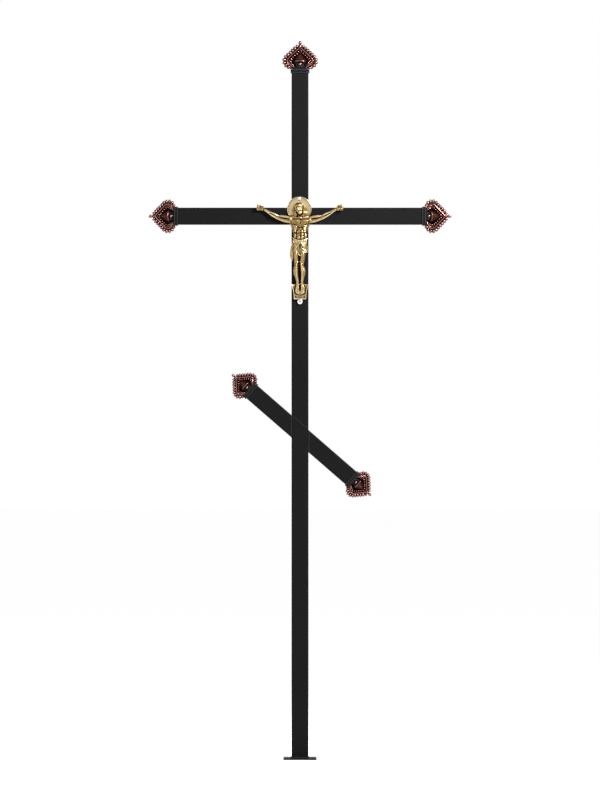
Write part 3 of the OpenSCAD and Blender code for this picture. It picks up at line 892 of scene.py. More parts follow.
# %% Legs and feet
for side, hip, knee, calf, ankle in ((-1, -12.2, -10.4, -12.0, -6.9), (1, 11.0, 4.7, 8.6, 6.0)):
    # thigh and knee
    rolled([(hip, 9, -98), ((hip + knee) / 2, 11, -121), (knee, 12, -142)], [8.8, 7.7, 6.3], 1.5)
    lump((hip * 0.55 + knee * 0.45 - 0.4, 14.5, -116), (6.4, 6.2, 17), 2.0)
    lump((knee + side * 2.2, 12.5, -136), (3.6, 5.2, 6.5), 1.2)
    lump((knee - side * 2.6, 13.4, -135.5), (3.0, 4.8, 5.0), 1.2)
    lump((knee - side * 0.6, 17.0, -142.6), (3.9, 3.4, 4.6), 1.8)
    # shin and calf
    rolled([(knee, 11.8, -145), (calf * 0.85 + knee * 0.15, 10.6, -163),
            ((calf + ankle) / 2, 11.0, -180), (ankle, 11.6, -192), (ankle, 11.4, -199)],
           [6.0, 7.0, 5.3, 4.1, 3.6], 1.6)
    lump((calf + side * 2.6, 9.4, -163), (5.2, 6.6, 15.5), 2.6)
    lump((calf - side * 2.6, 10.2, -159.5), (4.0, 6.4, 12.5), 2.2)
    strand([(knee - side * 0.6, 17.0, -148), (calf * 0.7 + knee * 0.3 - side, 16.6, -165),
            (ankle - side * 0.4, 14.6, -191)], [1.3, 1.2, 0.8], 2.2)
    groove([(knee - side * 3.8, 18.6, -139), (knee - side * 3.8, 18.6, -146)], 0.8, 2.2)
    groove([(knee + side * 3.0, 18.9, -139), (knee + side * 2.8, 18.9, -147)], 0.8, 2.2)
    # ankle bones, foot and toes
    lump((ankle - side * 2.6, 11.6, -198.5), (1.8, 2.2, 2.4), 0.8)
    lump((ankle + side * 2.9, 11.2, -200), (1.7, 2.2, 2.3), 0.8)
    rolled([(ankle, 11, -199), (side * 7.9, 11.2, -209), (side * 8.2, 11.4, -218.5)], [3.4, 4.4, 4.4],
           1.2)
    rolled([(ankle - side * 1, 12.5, -203), (side * 5.6, 13.2, -212), (side * 4.6, 12.6, -222)],
           [2.0, 2.6, 2.4], 0.9)
    toes = ((3.1, -226.6, 2.2), (6.0, -227.4, 1.75), (8.3, -226.6, 1.6), (10.3, -224.8, 1.5),
            (11.9, -222.4, 1.35))
    for across, low, fat in toes:
        foot = (side * (across * 0.75 + 1.2), 12.6, low + 6)
        rolled([foot, (side * across, 13.0, low), (side * across, 12.0, low - 1.2)],
               [fat * 0.8, fat, fat * 0.8], 0.25)
        dent((side * across, 14.9, low - 0.9), (fat * 0.45, 0.5, 0.6), 0.1)
    dent((side * 5.0, 16.2, -217.5), (2.3, 1.9, 2.3), 0.4)
    lump((side * 5.0, 14.9, -217.5), (1.35, 1.2, 1.35), 0.1)
print("legs modelled")

# %% Trunk, shoulders and neck
for centre, radii, soft in (
        ((0.6, 6.8, -25), (27.0, 12.2, 21), 2.0), ((1.0, 6.5, -52), (19.6, 10.4, 22), 4.0),
        ((0.8, 7.5, -84), (22.4, 11.5, 19), 4.0)):
    lump(centre, radii, soft)
for side in (-1, 1):
    # shoulder, then the flank muscle that runs down from it
    lump((side * 29.5, 8.6, -11.5), (8.6, 7.4, 7.6), 2.6)
    strand([(side * 29.5, 7.5, -13), (side * 25.2, 8, -23), (side * 20.6, 7.5, -35),
            (side * 16.4, 6.5, -54)], [6.0, 4.8, 3.4, 2.4], 3.0)
    # shoulder line, breast, and the collar bone with the hollow under it
    lump((side * 14.5, 8.6, -3.6), (15.5, 7.0, 7.0), 3.0)
    lump((side * 12.0, 13.6, -16.8), (13.4, 5.4, 9.2), 3.2)
    rolled([(side * 20, 13.4, -14.5), (side * 30, 11.5, -12)], [3.8, 3.4], 2.4)
    strand([(side * 3.0, 16.4, -6.6), (side * 10, 15.8, -5.0), (side * 18, 14.0, -5.8),
            (side * 25, 12.4, -7.4)], 1.1, 2.6)
    groove([(side * 6, 19.6, -9.2), (side * 15, 18.8, -9.4)], 0.6, 2.4)
    furrow([(side * 1.5, 20.3, -24.6), (side * 9, 20.2, -26.6), (side * 16, 18.6, -25.4),
            (side * 21, 17.6, -21.5)], 1.3, 1.6)
    lump((side * 13.6, 18.1, -20.6), (0.9, 0.7, 0.9), 0.5)
    # ribs: each comes round the side and ends in a knuckle, and a border joins them in front
    for i in range(5):
        drop = -30.0 - 4.1 * i
        strand([(side * (24.5 - 1.5 * i), 8.5, drop + 6.5), (side * (20.2 - 1.0 * i), 13.2, drop + 2.6),
                (side * (14.6 - 0.25 * i), 16.2 - 0.25 * i, drop)], [1.2, 1.6, 1.9], 0.9)
    strand([(side * 2.2, 16.8, -28.0), (side * 8.0, 17.0, -31.5), (side * 11.8, 16.2, -38),
            (side * 13.2, 14.0, -46)], [1.3, 1.9, 1.9, 1.6], 2.0)
    dent((side * 4.4 + 0.8, 19.6, -34.6), (6.4, 4.6, 4.8), 2.0)
    # belly
    for rise, fat in ((-46.2, 4.8), (-55.2, 4.8)):
        lump((side * 4.4 + 0.9, 13.0, rise), (5.6, 4.2, fat), 2.6)
    lump((side * 4.9 + 0.9, 13.8, -64.0), (5.8, 4.6, 7.2), 2.0)
    lump((side * 15.0 + 0.8, 9.4, -60), (4.9, 6.8, 10.5), 2.6)
    groove([(side * 10.4 + 0.8, 17.6, -49.5), (side * 10.8 + 0.8, 17.6, -57)], 1.4, 1.6)
    groove([(side * 12.5 + 0.6, 17.4, -62), (side * 5.5, 20, -71.5)], 1.1, 1.6)
# furrows on the middle line, the navel and the neck
furrow([(-8.5, 18.6, -31), (0.8, 19.0, -28.6), (10.5, 18.6, -31)], 1.5, 1.6)
groove([(0.4, 20.0, -9), (0.5, 19.8, -23.5)], 0.8, 2.0)
groove([(0.9, 18.4, -45), (0.9, 18.9, -62)], 0.6, 1.6)
dent((0.9, 19.2, -65.2), (1.2, 1.6, 1.6), 0.8)
rolled([(0.5, 9, -4), (-0.6, 11.5, 3), (-2.2, 14.0, 12)], [8.0, 6.8, 6.4], 2.4)
for side in (-1, 1):
    rolled([(-1.2 + side * 5.6, 14.0, 8), (0.2 + side * 2.1, 16.6, -5.4)], [1.5, 1.1], 1.6)
dent((0.2, 19.0, -5.2), (1.7, 1.8, 1.6), 1.2)
print("trunk modelled")

# %% [markdown]
# The arms rise to the nailed hands. Each upper arm is two long muscles, the forearm tapers with one
# bright bone line, and the fingers curl forward round the nail.

# %% Arms and hands
for side in (-1, 1):
    def arm(x, d, z):
        return (side * x, d, z)

    # upper arm: its mass, two long muscles and the furrow between them
    rolled([arm(28, 9, -11), arm(48, 7.6, -7.4), arm(66, 7.4, -4.0)], [7.2, 6.6, 5.6], 1.6)
    strand([arm(27, 11.6, -6.6), arm(39, 11.6, -3.2), arm(51, 11.2, -1.4), arm(64, 9.8, -0.6)],
           [3.8, 4.2, 4.1, 3.0], 1.0)
    strand([arm(27, 10.6, -16.6), arm(41, 10.6, -14.2), arm(53, 10.2, -11.0), arm(67, 9.4, -6.6)],
           [4.6, 5.0, 4.6, 3.2], 1.0)
    furrow([arm(33, 16.4, -10.2), arm(44, 16.2, -7.6), arm(60, 14.2, -4.4)], [2.0, 2.7, 1.2], 1.4)
    # forearm and elbow
    rolled([arm(66, 7.6, -4.4), arm(84, 7.4, 6), arm(105, 7.0, 18.6)], [6.0, 5.8, 3.9], 1.4)
    strand([arm(66, 10.4, 1.0), arm(76, 11.2, 5.6), arm(88, 10.2, 11.0)], [2.9, 3.7, 2.0], 1.2)
    strand([arm(69, 10.8, -5.4), arm(83, 11.0, 2.4), arm(96, 10.0, 12.0), arm(105, 9.4, 18.0)],
           [2.8, 3.0, 2.6, 2.1], 1.1)
    groove([arm(71, 14.8, -0.8), arm(90, 13.2, 9.2)], [1.7, 1.0], 1.2)
    groove([arm(98, 12.6, 17.4), arm(105, 12.6, 21.4)], [0.8, 0.9], 1.0)
    lump(arm(67.5, 10.4, -6.4), (2.6, 2.8, 2.4), 0.8)
    # palm, thumb and curled fingers
    tilt = math.radians(32)
    palm_turn = lean((math.cos(tilt), side * math.sin(tilt)))
    lump(arm(112.5, 7.2, 22.4), (8.8, 4.6, 6.4), 1.4, palm_turn)
    strand([arm(107.5, 9.2, 23.6), arm(110.2, 11.2, 28.6), arm(114.2, 12.6, 32.6)], [2.6, 2.2, 1.6],
           0.6)
    for i in range(4):
        root = arm(117.2 + 0.3 * i, 8.4, 30.0 - 3.8 * i)
        bend = arm(123.6 + 0.9 * min(i, 2) - 0.9 * max(i - 2, 0), 9.2, 32.2 - 4.4 * i)
        joint = arm(125.4 + 0.6 * min(i, 2) - 1.2 * max(i - 2, 0), 12.6, 31.4 - 4.4 * i)
        tip = arm(122.4 + 0.4 * i, 15.0, 29.4 - 3.9 * i)
        rolled([root, bend, joint, tip], [2.2, 2.05, 1.85, 1.5], 0.25)
    # the nail in the palm
    dent(arm(114.6, 12.6, 24.6), (3.0, 3.6, 3.0), 0.6)
    rolled([arm(114.6, 8.0, 24.6), arm(114.6, 10.6, 24.6)], [1.1, 1.5], 0.1)
print("arms modelled")

# %% [markdown]
# ## The crucifix figure: loincloth
# Cloth on a small casting is modelled as rolls laid side by side. A rolled top edge sags across the
# hips, knots sit at both sides, two broad bands fall from the middle like a tent, a rounded end
# hangs between the thighs, and one loose end hangs down at the side.

# %% Loincloth
lump((0.6, 8.4, -90), (22.8, 10.2, 19), 1.5)
for side in (-1, 1):
    rolled([(side * 13, 7.6, -92), (side * 14.5, 6.6, -102)], [8.6, 7.4], 1.8)
    # tent-like bands: broad folds from the middle to the hip, over a flat under-layer
    strand([(1.6 + side * 4.6, 15.2, -79.5), (1.0 + side * 12.6, 13.6, -90.5),
            (0.6 + side * 20.0, 9.0, -101.0)], [3.6, 4.6, 3.6], 1.2)
    for i in range(4):
        top = (1.6 + side * (0.8 + 2.3 * i), 19.2 - 0.5 * i, -77.8 + 1.0 * i)
        half = (1.0 + side * (9.6 + 1.9 * i), 17.6 - 0.7 * i, -90.2 + 2.4 * i)
        end = (0.6 + side * (18.4 + 1.0 * i), 13.4 - 0.9 * i, -104.6 + 3.5 * i)
        strand([top, half, end], [1.4, 2.1, 2.0], 1.0)
    under = [(1.6 + side * 0.4, 20.2, -80.8), (1.0 + side * 8.2, 18.6, -93.0),
             (0.6 + side * 17.2, 13.8, -106.2)]
    furrow(under, [0.5, 0.7, 0.6], 0.7)
    for i in range(4):
        strand([(side * 18.2, 14.0, -71.4 - 2.5 * i), (side * (12.5 - i), 17.4, -73.6 - 2.2 * i),
                (1 + side * (6.8 - 1.5 * i), 18.8, -75.0 - 1.4 * i)], [1.4, 1.4, 0.8], 0.6)
# the rolled top edge, twisted of two plies, and the knots at its ends
for ply in range(2):
    line = []
    for way_round in np.linspace(0, 1, 25):
        twist = ply * math.pi + way_round * 7 * math.pi
        sag = math.sin(math.pi * way_round)
        line.append((-19.8 + 41.2 * way_round, 11.8 + 7.0 * sag + 0.5 * math.cos(twist),
                     -67.0 - 5.6 * sag + 0.8 * math.sin(twist)))
    rolled(line, 1.75, 0.6)
knot_loops = (((-3.4, 3.0), (0.6, 4.6), (3.8, 1.8), (1.6, -1.6)),
              ((-3.6, -1.4), (-0.4, -4.4), (3.4, -3.0), (2.8, 0.8)),
              ((-4.2, 2.2), (-4.6, -2.0), (-2.0, -4.6)))
for side, knot_z in ((-1, -74.5), (1, -76.5)):
    lump((side * 15.6, 13.6, knot_z), (5.0, 4.4, 5.2), 1.0)
    for loop in knot_loops:
        strand([(side * 15.6 + u, 16.8 - 0.12 * abs(u), knot_z + v) for u, v in loop], 1.5, 0.45)
    dent((side * 15.6 + 0.6, 19.4, knot_z - 0.4), (1.2, 2.2, 1.3), 0.4)
dent((16.4, 18.6, -85.5), (1.3, 1.8, 1.8), 0.6)
# rounded end between the thighs
lump((-0.1, 12.8, -100.5), (7.4, 6.2, 18.0), 0.9)
rim = [(4.6, 17.8, -86), (5.6, 18.3, -96), (5.7, 18.2, -106), (4.2, 18.0, -113.4),
       (0.2, 17.8, -116.8), (-3.9, 18.0, -113.4), (-5.6, 18.2, -106), (-5.4, 18.3, -96),
       (-3.4, 17.8, -86)]
strand(rim, 1.2, 1.2)
for u in (-2.2, 2.4):
    furrow([(u * 0.5 + 0.6, 19.9, -87), (u, 19.9, -98), (u * 0.8, 19.3, -110)], 0.8, 0.9)
# hems over the thighs
for side, wide in ((-1, 13.6), (1, 14.6)):
    strand([(side * 7.0, 16.8, -101.5), (side * wide, 15.6, -107.0), (side * 21.6, 11.2, -105.2)],
           [1.4, 1.8, 1.6], 0.9)
    strand([(side * 8.2, 17.4, -97.0), (side * wide, 16.6, -102.0), (side * 20.8, 12.4, -100.8)],
           [1.0, 1.4, 1.3], 0.9)
# the loose end at the side
strand([(-20.0, 8, -84), (-23.2, 7.4, -98), (-24.2, 6.4, -114), (-23.6, 5.4, -127)],
       [4.9, 5.4, 5.1, 3.6], 1.4)
for i, (x, low) in enumerate(((-20.8, -124), (-23.2, -131), (-25.8, -128.5), (-27.8, -121))):
    strand([(-19.4 - 1.0 * i, 12.2 - i * 0.8, -85 - i), (x + 1.1, 11.8 - 0.9 * i, -99),
            (x - 0.4, 10.8 - i, -112), (x + 0.5, 9.2 - i, low)], [1.6, 1.9, 1.9, 1.2], 0.9)
dent((-22.4, 13.2, -108.5), (1.1, 3.0, 2.6), 0.6)
print("loincloth modelled")

# %% [markdown]
# ## The crucifix figure: head
# The head bows a little and leans to the figure's right. It follows the plain rules for drawing a
# head: the eyes lie halfway down, the nose ends halfway between eyes and chin, and the mouth is a
# third of the way from nose to chin. The lids are closed, so the face is at rest. Hair falls in long
# waves from a middle parting onto the shoulders, and the beard is short.

# %% Head and face
head_at = np.array([-2.7, 16.2, 21.2])
head_up = np.array([-0.29, 0.13, 0.95]) / np.linalg.norm([-0.29, 0.13, 0.95])
head_out = np.array([-0.13, 1.0, -0.17])
head_out = head_out - head_up * (head_out @ head_up)
head_out /= np.linalg.norm(head_out)
head_side = np.cross(head_out, head_up)
head_turn = [tuple(head_side), tuple(head_out), tuple(head_up)]


def on_head(u, w, v):
    return head_at + u * head_side + w * head_out + v * head_up


def head_egg(centre, radii, soft, cut=False):
    (figure.cut if cut else figure.add)(egg(on_head(*centre), radii, head_turn), soft)


def head_roll(points, radii, soft, cut=False):
    (figure.cut if cut else figure.add)(roll([on_head(*p) for p in points], radii), soft)


head_egg((0, -2.0, 4.6), (13.4, 12.0, 13.8), 1.5)                       # mass of the hair
rolled([(-11.6, 7.0, 20), (-15.4, 6.6, 9), (-15.4, 7.4, -2)], [6.0, 5.8, 4.8], 3.0)
rolled([(7.6, 7.0, 21), (12.4, 6.6, 11), (13.6, 7.4, 0)], [6.0, 6.0, 5.0], 3.0)
head_egg((0, 13.0, -2.0), (8.8, 8.6, 12.2), 1.0, cut=True)              # opening for the face
head_egg((0, 0.2, 2.2), (9.0, 10.2, 11.0), 0.3)                         # skull
head_egg((0, 1.9, 5.4), (7.8, 8.4, 6.6), 2.0)                           # forehead
head_egg((0, 1.6, -4.4), (7.8, 8.2, 8.4), 2.2)                          # jaw
head_egg((0, 7.6, -10.4), (2.9, 2.4, 2.4), 1.4)                         # chin
for side in (-1, 1):
    head_egg((side * 5.5, 6.2, -2.6), (2.8, 2.7, 2.6), 2.0)             # cheekbone
    head_egg((side * 4.6, 5.6, -5.6), (2.8, 2.8, 3.4), 2.0)             # cheek
    head_roll([(side * 1.3, 9.7, 2.9), (side * 3.8, 9.6, 3.6), (side * 6.4, 7.9, 2.7)],
              [0.65, 0.75, 0.5], 1.1)                                   # brow
    head_egg((side * 3.7, 11.3, 1.0), (2.6, 2.1, 1.5), 1.4, cut=True)   # eye socket
    head_egg((side * 3.6, 7.5, 0.3), (2.7, 2.0, 1.8), 0.9)              # closed lid
    head_roll([(side * 1.6, 9.2, -0.2), (side * 3.6, 9.75, -0.9), (side * 5.6, 8.2, -0.4)],
              0.28, 0.3, cut=True)                                      # lid line
    head_egg((side * 1.35, 10.6, -5.4), (0.95, 1.0, 0.85), 0.5)         # wing of the nose
    head_egg((side * 0.75, 11.3, -6.25), (0.4, 0.5, 0.35), 0.2, cut=True)
    head_roll([(side * 0.5, 10.0, -7.3), (side * 2.4, 9.3, -7.7), (side * 4.4, 7.9, -9.2),
               (side * 5.0, 7.2, -11.2)], [0.5, 0.7, 0.6, 0.4], 0.5)    # moustache
# nose and lips
head_roll([(0, 9.3, 2.6), (0, 10.6, -1.2), (0, 11.7, -4.6)], [0.85, 0.95, 1.2], 0.7)
head_egg((0, 11.8, -5.0), (1.25, 1.15, 1.1), 0.5)
head_roll([(-2.0, 9.3, -8.75), (0, 9.9, -8.55), (2.0, 9.3, -8.75)], [0.35, 0.6, 0.35], 0.3)
head_roll([(-1.7, 9.2, -9.75), (0, 9.8, -9.9), (1.7, 9.2, -9.75)], [0.4, 0.75, 0.4], 0.3)
head_roll([(-2.3, 9.9, -9.2), (0, 10.55, -9.2), (2.3, 9.9, -9.2)], 0.2, 0.15, cut=True)
# beard: a short mass with a soft fork, then small waved tufts
head_egg((0, 4.8, -11.2), (6.6, 4.2, 5.6), 1.4)
for i in range(9):
    u = -5.6 + 1.4 * i
    drop = -17.2 + 0.12 * u * u + (1.2 if i == 4 else 0)
    out = 9.0 - 0.085 * u * u
    head_roll([(u * 0.85, out, -10.6 + 0.14 * u * u), (u + 0.5, out + 0.1, -13.2 + 0.06 * u * u),
               (u * 0.9, out - 0.9, -15.0 + 0.1 * u * u), (u * 0.8, out - 2.4, drop)],
              [0.6, 0.95, 0.9, 0.4], 0.15)
for side in (-1, 1):
    for i in range(5):
        head_roll([(side * (8.0 - 0.2 * i), 4.6 - 0.5 * i, -1.0 - 2.2 * i),
                   (side * (7.8 - 0.5 * i), 5.4 - 0.1 * i, -4.0 - 2.2 * i),
                   (side * (6.4 - 0.6 * i), 6.4 + 0.3 * i, -6.8 - 1.9 * i)], [0.7, 0.95, 0.5], 0.2)
print("face modelled")

# %% Hair in long waves
locks = np.random.default_rng(7)
for side in (-1, 1):
    for row in range(6):
        root = on_head(side * 0.6, 10.4 - 2.3 * row, 11.4 + 1.7 * row - 0.17 * row ** 2)
        crown = on_head(side * (4.2 + 0.7 * row), 10.0 - 2.1 * row, 11.2 + 1.3 * row - 0.1 * row ** 2)
        brow = on_head(side * (7.6 + 0.9 * row), 8.6 - 1.7 * row, 7.6 + 1.0 * row)
        temple = on_head(side * (9.6 + 0.85 * row), 6.6 - 1.3 * row, 2.0 + 0.9 * row)
        back = 0.8 * row
        wave = locks.uniform(-1.1, 1.1, 5)
        if side < 0:
            fall = [(-11.8 - 1.5 * row, 16.0 - back, 14.5 + wave[0]),
                    (-14.6 - 1.5 * row, 15.6 - back, 8.5 + wave[1]),
                    (-11.0 - 1.8 * row, 15.6 - back, 3.0 + wave[2]),
                    (-14.0 - 1.5 * row, 14.6 - back, -3.0 + wave[3]),
                    (-12.0 - 1.6 * row, 13.6 - back, -7.0 + wave[4])]
        else:
            fall = [(7.6 + 1.7 * row, 16.2 - back, 15.5 + wave[0]),
                    (11.0 + 1.7 * row, 15.8 - back, 8.6 + wave[1]),
                    (7.4 + 2.0 * row, 15.6 - back, 2.6 + wave[2]),
                    (10.8 + 1.7 * row, 14.6 - back, -3.4 + wave[3]),
                    (8.8 + 1.8 * row, 13.6 - back, -7.6 + wave[4])]
        line = flowing([root, crown, brow, temple] + fall)
        rolled(line, [0.9, 1.5, 1.6, 1.55, 1.6, 1.5, 1.5, 1.2, 0.5], 0.15)
        fine = line + np.array([side * 1.0, 0.75, 0.5])      # a thin lock on each broad one
        rolled(fine[2:-3], [0.3, 0.75, 0.75, 0.75, 0.7, 0.3], 0.12)
head_roll([(0, 11.6, 12.2), (0, 6.0, 16.6), (0, -2.0, 18.4)], 0.5, 0.6, cut=True)
print("hair modelled")

# %% [markdown]
# The back is filed flat to lie on the tube, and the two screw holes are drilled last, with a flat seat
# on the halo for the upper screw's head. Then the figure is cast, and set on the crossing. After
# casting, the hair and the hands are made darker, and the face a little brighter.

# %% Cast and place the figure
SCREW_HOLE_R, SCREW_HEAD_R, HALO_SEAT = 2.55, 5.8, 3.05
figure.keep_above(1, 0.06)
for x, z in ((0.0, LUG_Z), tuple(TOP_SCREW)):
    groove([(x, -3, z), (x, 40, z)], SCREW_HOLE_R, 0.0)
above_seat = [(TOP_SCREW[0], d, TOP_SCREW[1]) for d in (HALO_SEAT + SCREW_HEAD_R, 12)]
groove(above_seat, SCREW_HEAD_R, 0.0)
figure_mesh = cast(figure, "crucifix", 196000, wide=3.2, fine=1.0,
                   flank_shade=0.3)
across, proud, up = spots_of(figure_mesh).T
# the hair and the hands are made darker below, and the face a little brighter
round_head = ((1.05 - np.hypot((across + 1.5) / 22, (up - 18) / 26)) / 0.1).clip(0, 1)
round_face = ((1.1 - np.hypot((across + 3.2) / 9.5, (up - 19.5) / 13)) / 0.2).clip(0, 1)
hair = round_head * (1 - round_face) * ((proud - 5) / 2).clip(0, 1)
hands = ((np.abs(across) - 98) / 10).clip(0, 1)
rub_and_shade = np.empty(len(across), np.float32)
figure_mesh.attributes["rub_and_shade"].data.foreach_get("value", rub_and_shade)
mark(figure_mesh, "rub_and_shade", (rub_and_shade - 0.26 * hair - 0.2 * hands + 0.08 * round_face).clip(0, 1))
# counts the points on which the hair is made darker
print("hair keeps its lacquer on", int((hair > 0.5).sum()), "points")
figure_place = Matrix.Translation(crossing) @ Matrix.Diagonal((MM, -MM, MM, 1))
crucifix = place(figure_mesh, "cast_crucifix_figure", figure_place, brass)
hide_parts("crucifix_figure")
del figure

# %% [markdown]
# ## Screws
# Two bright domed screws hold the figure. The dome is turned, and a cross-shaped slot is cut into it
# for the driver. The shank goes through the casting and the tube's wall, as the real one does.

# %% Model the screws
HEAD_H, SHANK_R, SHANK_L, PITCH = 3.35, 2.35, 13.5, 1.6       # millimetres


def screw_clay(head_r, head_h, shank_r, shank_l, grain):
    clay = Clay((-head_r - 1, -head_r - 1, -shank_l - 1), (head_r + 1, head_r + 1, head_h + 1), grain)
    dome = [(0, head_r - 0.25), (0.35, head_r), (0.8, head_r - 0.12)]
    dome += [(0.8 + (head_h - 0.8) * math.sin(a), (head_r - 0.12) * math.cos(a) + 0.001)
             for a in np.linspace(0.15, math.pi / 2, 12)]
    clay.add(spun(dome, 0.7))
    clay.add(spun([(-shank_l, 0.2), (-shank_l + 2.5, shank_r - 0.35), (0.2, shank_r - 0.35)], 0.9))
    rounds = (shank_l - 3) / PITCH
    turns = np.linspace(0, 2 * np.pi * rounds, int(16 * rounds))
    thread = np.column_stack([(shank_r - 0.45) * np.cos(turns), (shank_r - 0.45) * np.sin(turns),
                              -shank_l + 2.5 + turns / (2 * np.pi) * PITCH])
    clay.add(roll(thread, 0.42), 0.1)
    for way in (0.35, 0.35 + math.pi / 2):
        half_slot = np.array([math.cos(way), math.sin(way), 0]) * head_r * 0.34
        slot_floor = np.array([0, 0, head_h - 0.2])
        clay.cut(roll([slot_floor - half_slot, slot_floor + half_slot], head_r * 0.12), 0.1)
    clay.cut(egg((0, 0, head_h), (head_r * 0.13, head_r * 0.13, 1.5)), 0.15)
    return clay


def bright_steel():
    look = Finish("bright_steel")
    # where the screw is not proud, in the cross slot and round the head, it is darkened: painted shade
    worn = look.math("ADD", look.attribute("rub_and_shade"), look.math("MULTIPLY", look.noise(2.0, 3), 0.1),
                     clamp=True)
    colour = look.ramp(worn, (0.15, (0.08, 0.08, 0.09)), (0.45, (0.55, 0.56, 0.57)),
                       (0.8, (0.82, 0.83, 0.84)))
    rough = look.between(look.noise(1.0, 2), 0.3, 0.7, 0.22, 0.32)
    return look.set(Base_Color=colour, Metallic=1.0, Roughness=rough,
                    Normal=look.bump(look.noise(0.6, 2), 0.008))


chrome = bright_steel()
for node in ("screw_top", "screw_bottom"):
    low, high = (Vector(c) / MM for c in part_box(node))
    head_r = (high.x - low.x) / 2
    clay = screw_clay(head_r, HEAD_H, SHANK_R, SHANK_L, 0.2)
    mesh = cast(clay, node, 30000, wide=1.2, fine=0.5)
    outward = Matrix(((1, 0, 0), (0, 0, -1), (0, 1, 0))).to_4x4()
    spot = Vector(((low.x + high.x) / 2 * MM, (low.y + HEAD_H) * MM, (low.z + high.z) / 2 * MM))
    piece = place(mesh, "turned_" + node,
                  Matrix.Translation(spot) @ outward @ Matrix.Scale(MM, 4), chrome)
    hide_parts(node)
    print(piece.name, "has its head's seat at depth", round(spot.y, 5))

# %% [markdown]
# ## Weld beads
# The tubes are cut and welded. A weld is a row of overlapping ripples, each pushed up by the next, so a
# bead is built as a tube along its line whose thickness swells and shrinks, and which is pressed half
# into the corner. It is painted over with the same black powder, made lighter as a painted highlight.
# The post's mitre has one in front and behind, each half of the foot bar one at each corner of its
# joint, and the crossbar's joints and the post's foot a loop all round.

# %% Lay the weld beads
RIPPLE = 1.9            # millimetres from one ripple to the next
BEAD_SIDES = 14


def ripple_rings(line, radius_mm, seed):
    """Rings of points along a line; the seed sets the welder's small unevenness."""
    parts = np.linalg.norm(np.diff(line, axis=0), axis=1)
    run = np.concatenate([[0], np.cumsum(parts)])
    count = int(run[-1] / (RIPPLE / 6))
    steps = np.linspace(0, run[-1], count + 1)
    spine = np.column_stack([np.interp(steps, run, line[:, i]) for i in range(3)])
    chance = np.random.default_rng(seed)
    marks = np.arange(0, run[-1] + 8, 3.5)
    wander = np.interp(steps, marks, chance.normal(0, 0.09, len(marks)))
    ripple = 0.84 + 0.24 * ((steps / RIPPLE) % 1.0) ** 0.7
    ends = np.clip(np.minimum(steps, run[-1] - steps) / 1.5 + 0.3, 0, 1)
    radii = radius_mm * ripple * (1 + wander) * ends
    way = np.gradient(spine, axis=0)
    way /= np.linalg.norm(way, axis=1)[:, None]
    side = np.cross(way, [0.31, 0.90, 0.29])
    side /= np.linalg.norm(side, axis=1)[:, None]
    lift = np.cross(side, way)
    turns = np.linspace(0, 2 * np.pi, BEAD_SIDES, endpoint=False)
    shift = (radii * 0.45)[:, None, None] * way[:, None, :]
    round_way = (np.cos(turns)[None, :, None] * side[:, None, :]
                 + np.sin(turns)[None, :, None] * lift[:, None, :])
    return spine[:, None, :] - shift + radii[:, None, None] * round_way


def weld_bead(name, points, radius_mm, coat, seed):
    """A painted bead along the points, which are in metres."""
    rings = ripple_rings(np.array(points, float) / MM, radius_mm, seed)
    corner = np.arange(len(rings) * BEAD_SIDES).reshape(len(rings), BEAD_SIDES)
    after = np.roll(corner, -1, axis=1)
    quads = np.stack([corner[:-1], after[:-1], after[1:], corner[1:]], axis=-1).reshape(-1, 4)
    mesh = bpy.data.meshes.new(name)
    mesh.from_pydata(rings.reshape(-1, 3).tolist(), [],
                     quads.tolist() + [corner[0, ::-1].tolist(), corner[-1].tolist()])
    solid = bmesh.new()
    solid.from_mesh(mesh)
    bmesh.ops.recalc_face_normals(solid, faces=solid.faces)
    solid.to_mesh(mesh)
    solid.free()
    mesh.polygons.foreach_set("use_smooth", np.ones(len(mesh.polygons), bool))
    piece = place(mesh, name, Matrix.Scale(MM, 4), coat)
    bpy.data.meshes.remove(mesh)
    return piece


# each bead's middle lies within a millimetre of the tubes' faces, and loops turn inside the corners
w, d = tube_half_w, tube_half_d
post_mid_z = (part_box("post_upper")[0][2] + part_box("post_lower")[1][2]) / 2
rise = w * math.tan(foot_slope)
bar_half = tube_half_w / slope.x
for face, word in ((-1, "front"), (1, "back")):
    y = face * (d + 0.0001)
    weld_bead("weld_post_mitre_" + word, [(-w + 0.001, y, post_mid_z - rise * 0.96),
                                          (w - 0.001, y, post_mid_z + rise * 0.96)],
              1.35, weld_highlight_coat, 11 + face)
    for side in (-1, 1):
        z = foot_middle.z + side * rise
        weld_bead("weld_footbar_" + word + ("_left" if side < 0 else "_right"),
                  [(side * (w + 0.0008), face * (d - 0.0006), z - bar_half * 0.97),
                   (side * (w + 0.0008), face * (d - 0.0006), z + bar_half * 0.97)],
                  1.9, weld_highlight_coat, 21 + face * 2 + side)
for side, word in ((-1, "left"), (1, "right")):
    x = side * (w + 0.0004)
    loop = [(x, -d + 0.0006, crossing.z - w + 0.002), (x, -d + 0.0006, crossing.z + w - 0.002),
            (x, -d + 0.003, crossing.z + w - 0.0002), (x, d - 0.003, crossing.z + w - 0.0002),
            (x, d - 0.0006, crossing.z + w - 0.002), (x, d - 0.0006, crossing.z - w + 0.002),
            (x, d - 0.003, crossing.z - w + 0.0002), (x, -d + 0.003, crossing.z - w + 0.0002)]
    weld_bead("weld_crossbar_" + word, loop, 1.2, weld_highlight_coat, 31 + side)
plate_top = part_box("base_plate")[1][2]
foot = [(-w, -d + 0.004), (-w + 0.004, -d), (w - 0.004, -d), (w, -d + 0.004), (w, d - 0.004),
        (w - 0.004, d), (-w + 0.004, d), (-w, d - 0.004), (-w, -d + 0.0045)]
weld_bead("weld_post_foot", [(x * 1.02, y * 1.03, plate_top + 0.0006) for x, y in foot], 2.2,
          weld_highlight_coat, 41)
print("weld beads laid round z =", round(post_mid_z, 4))

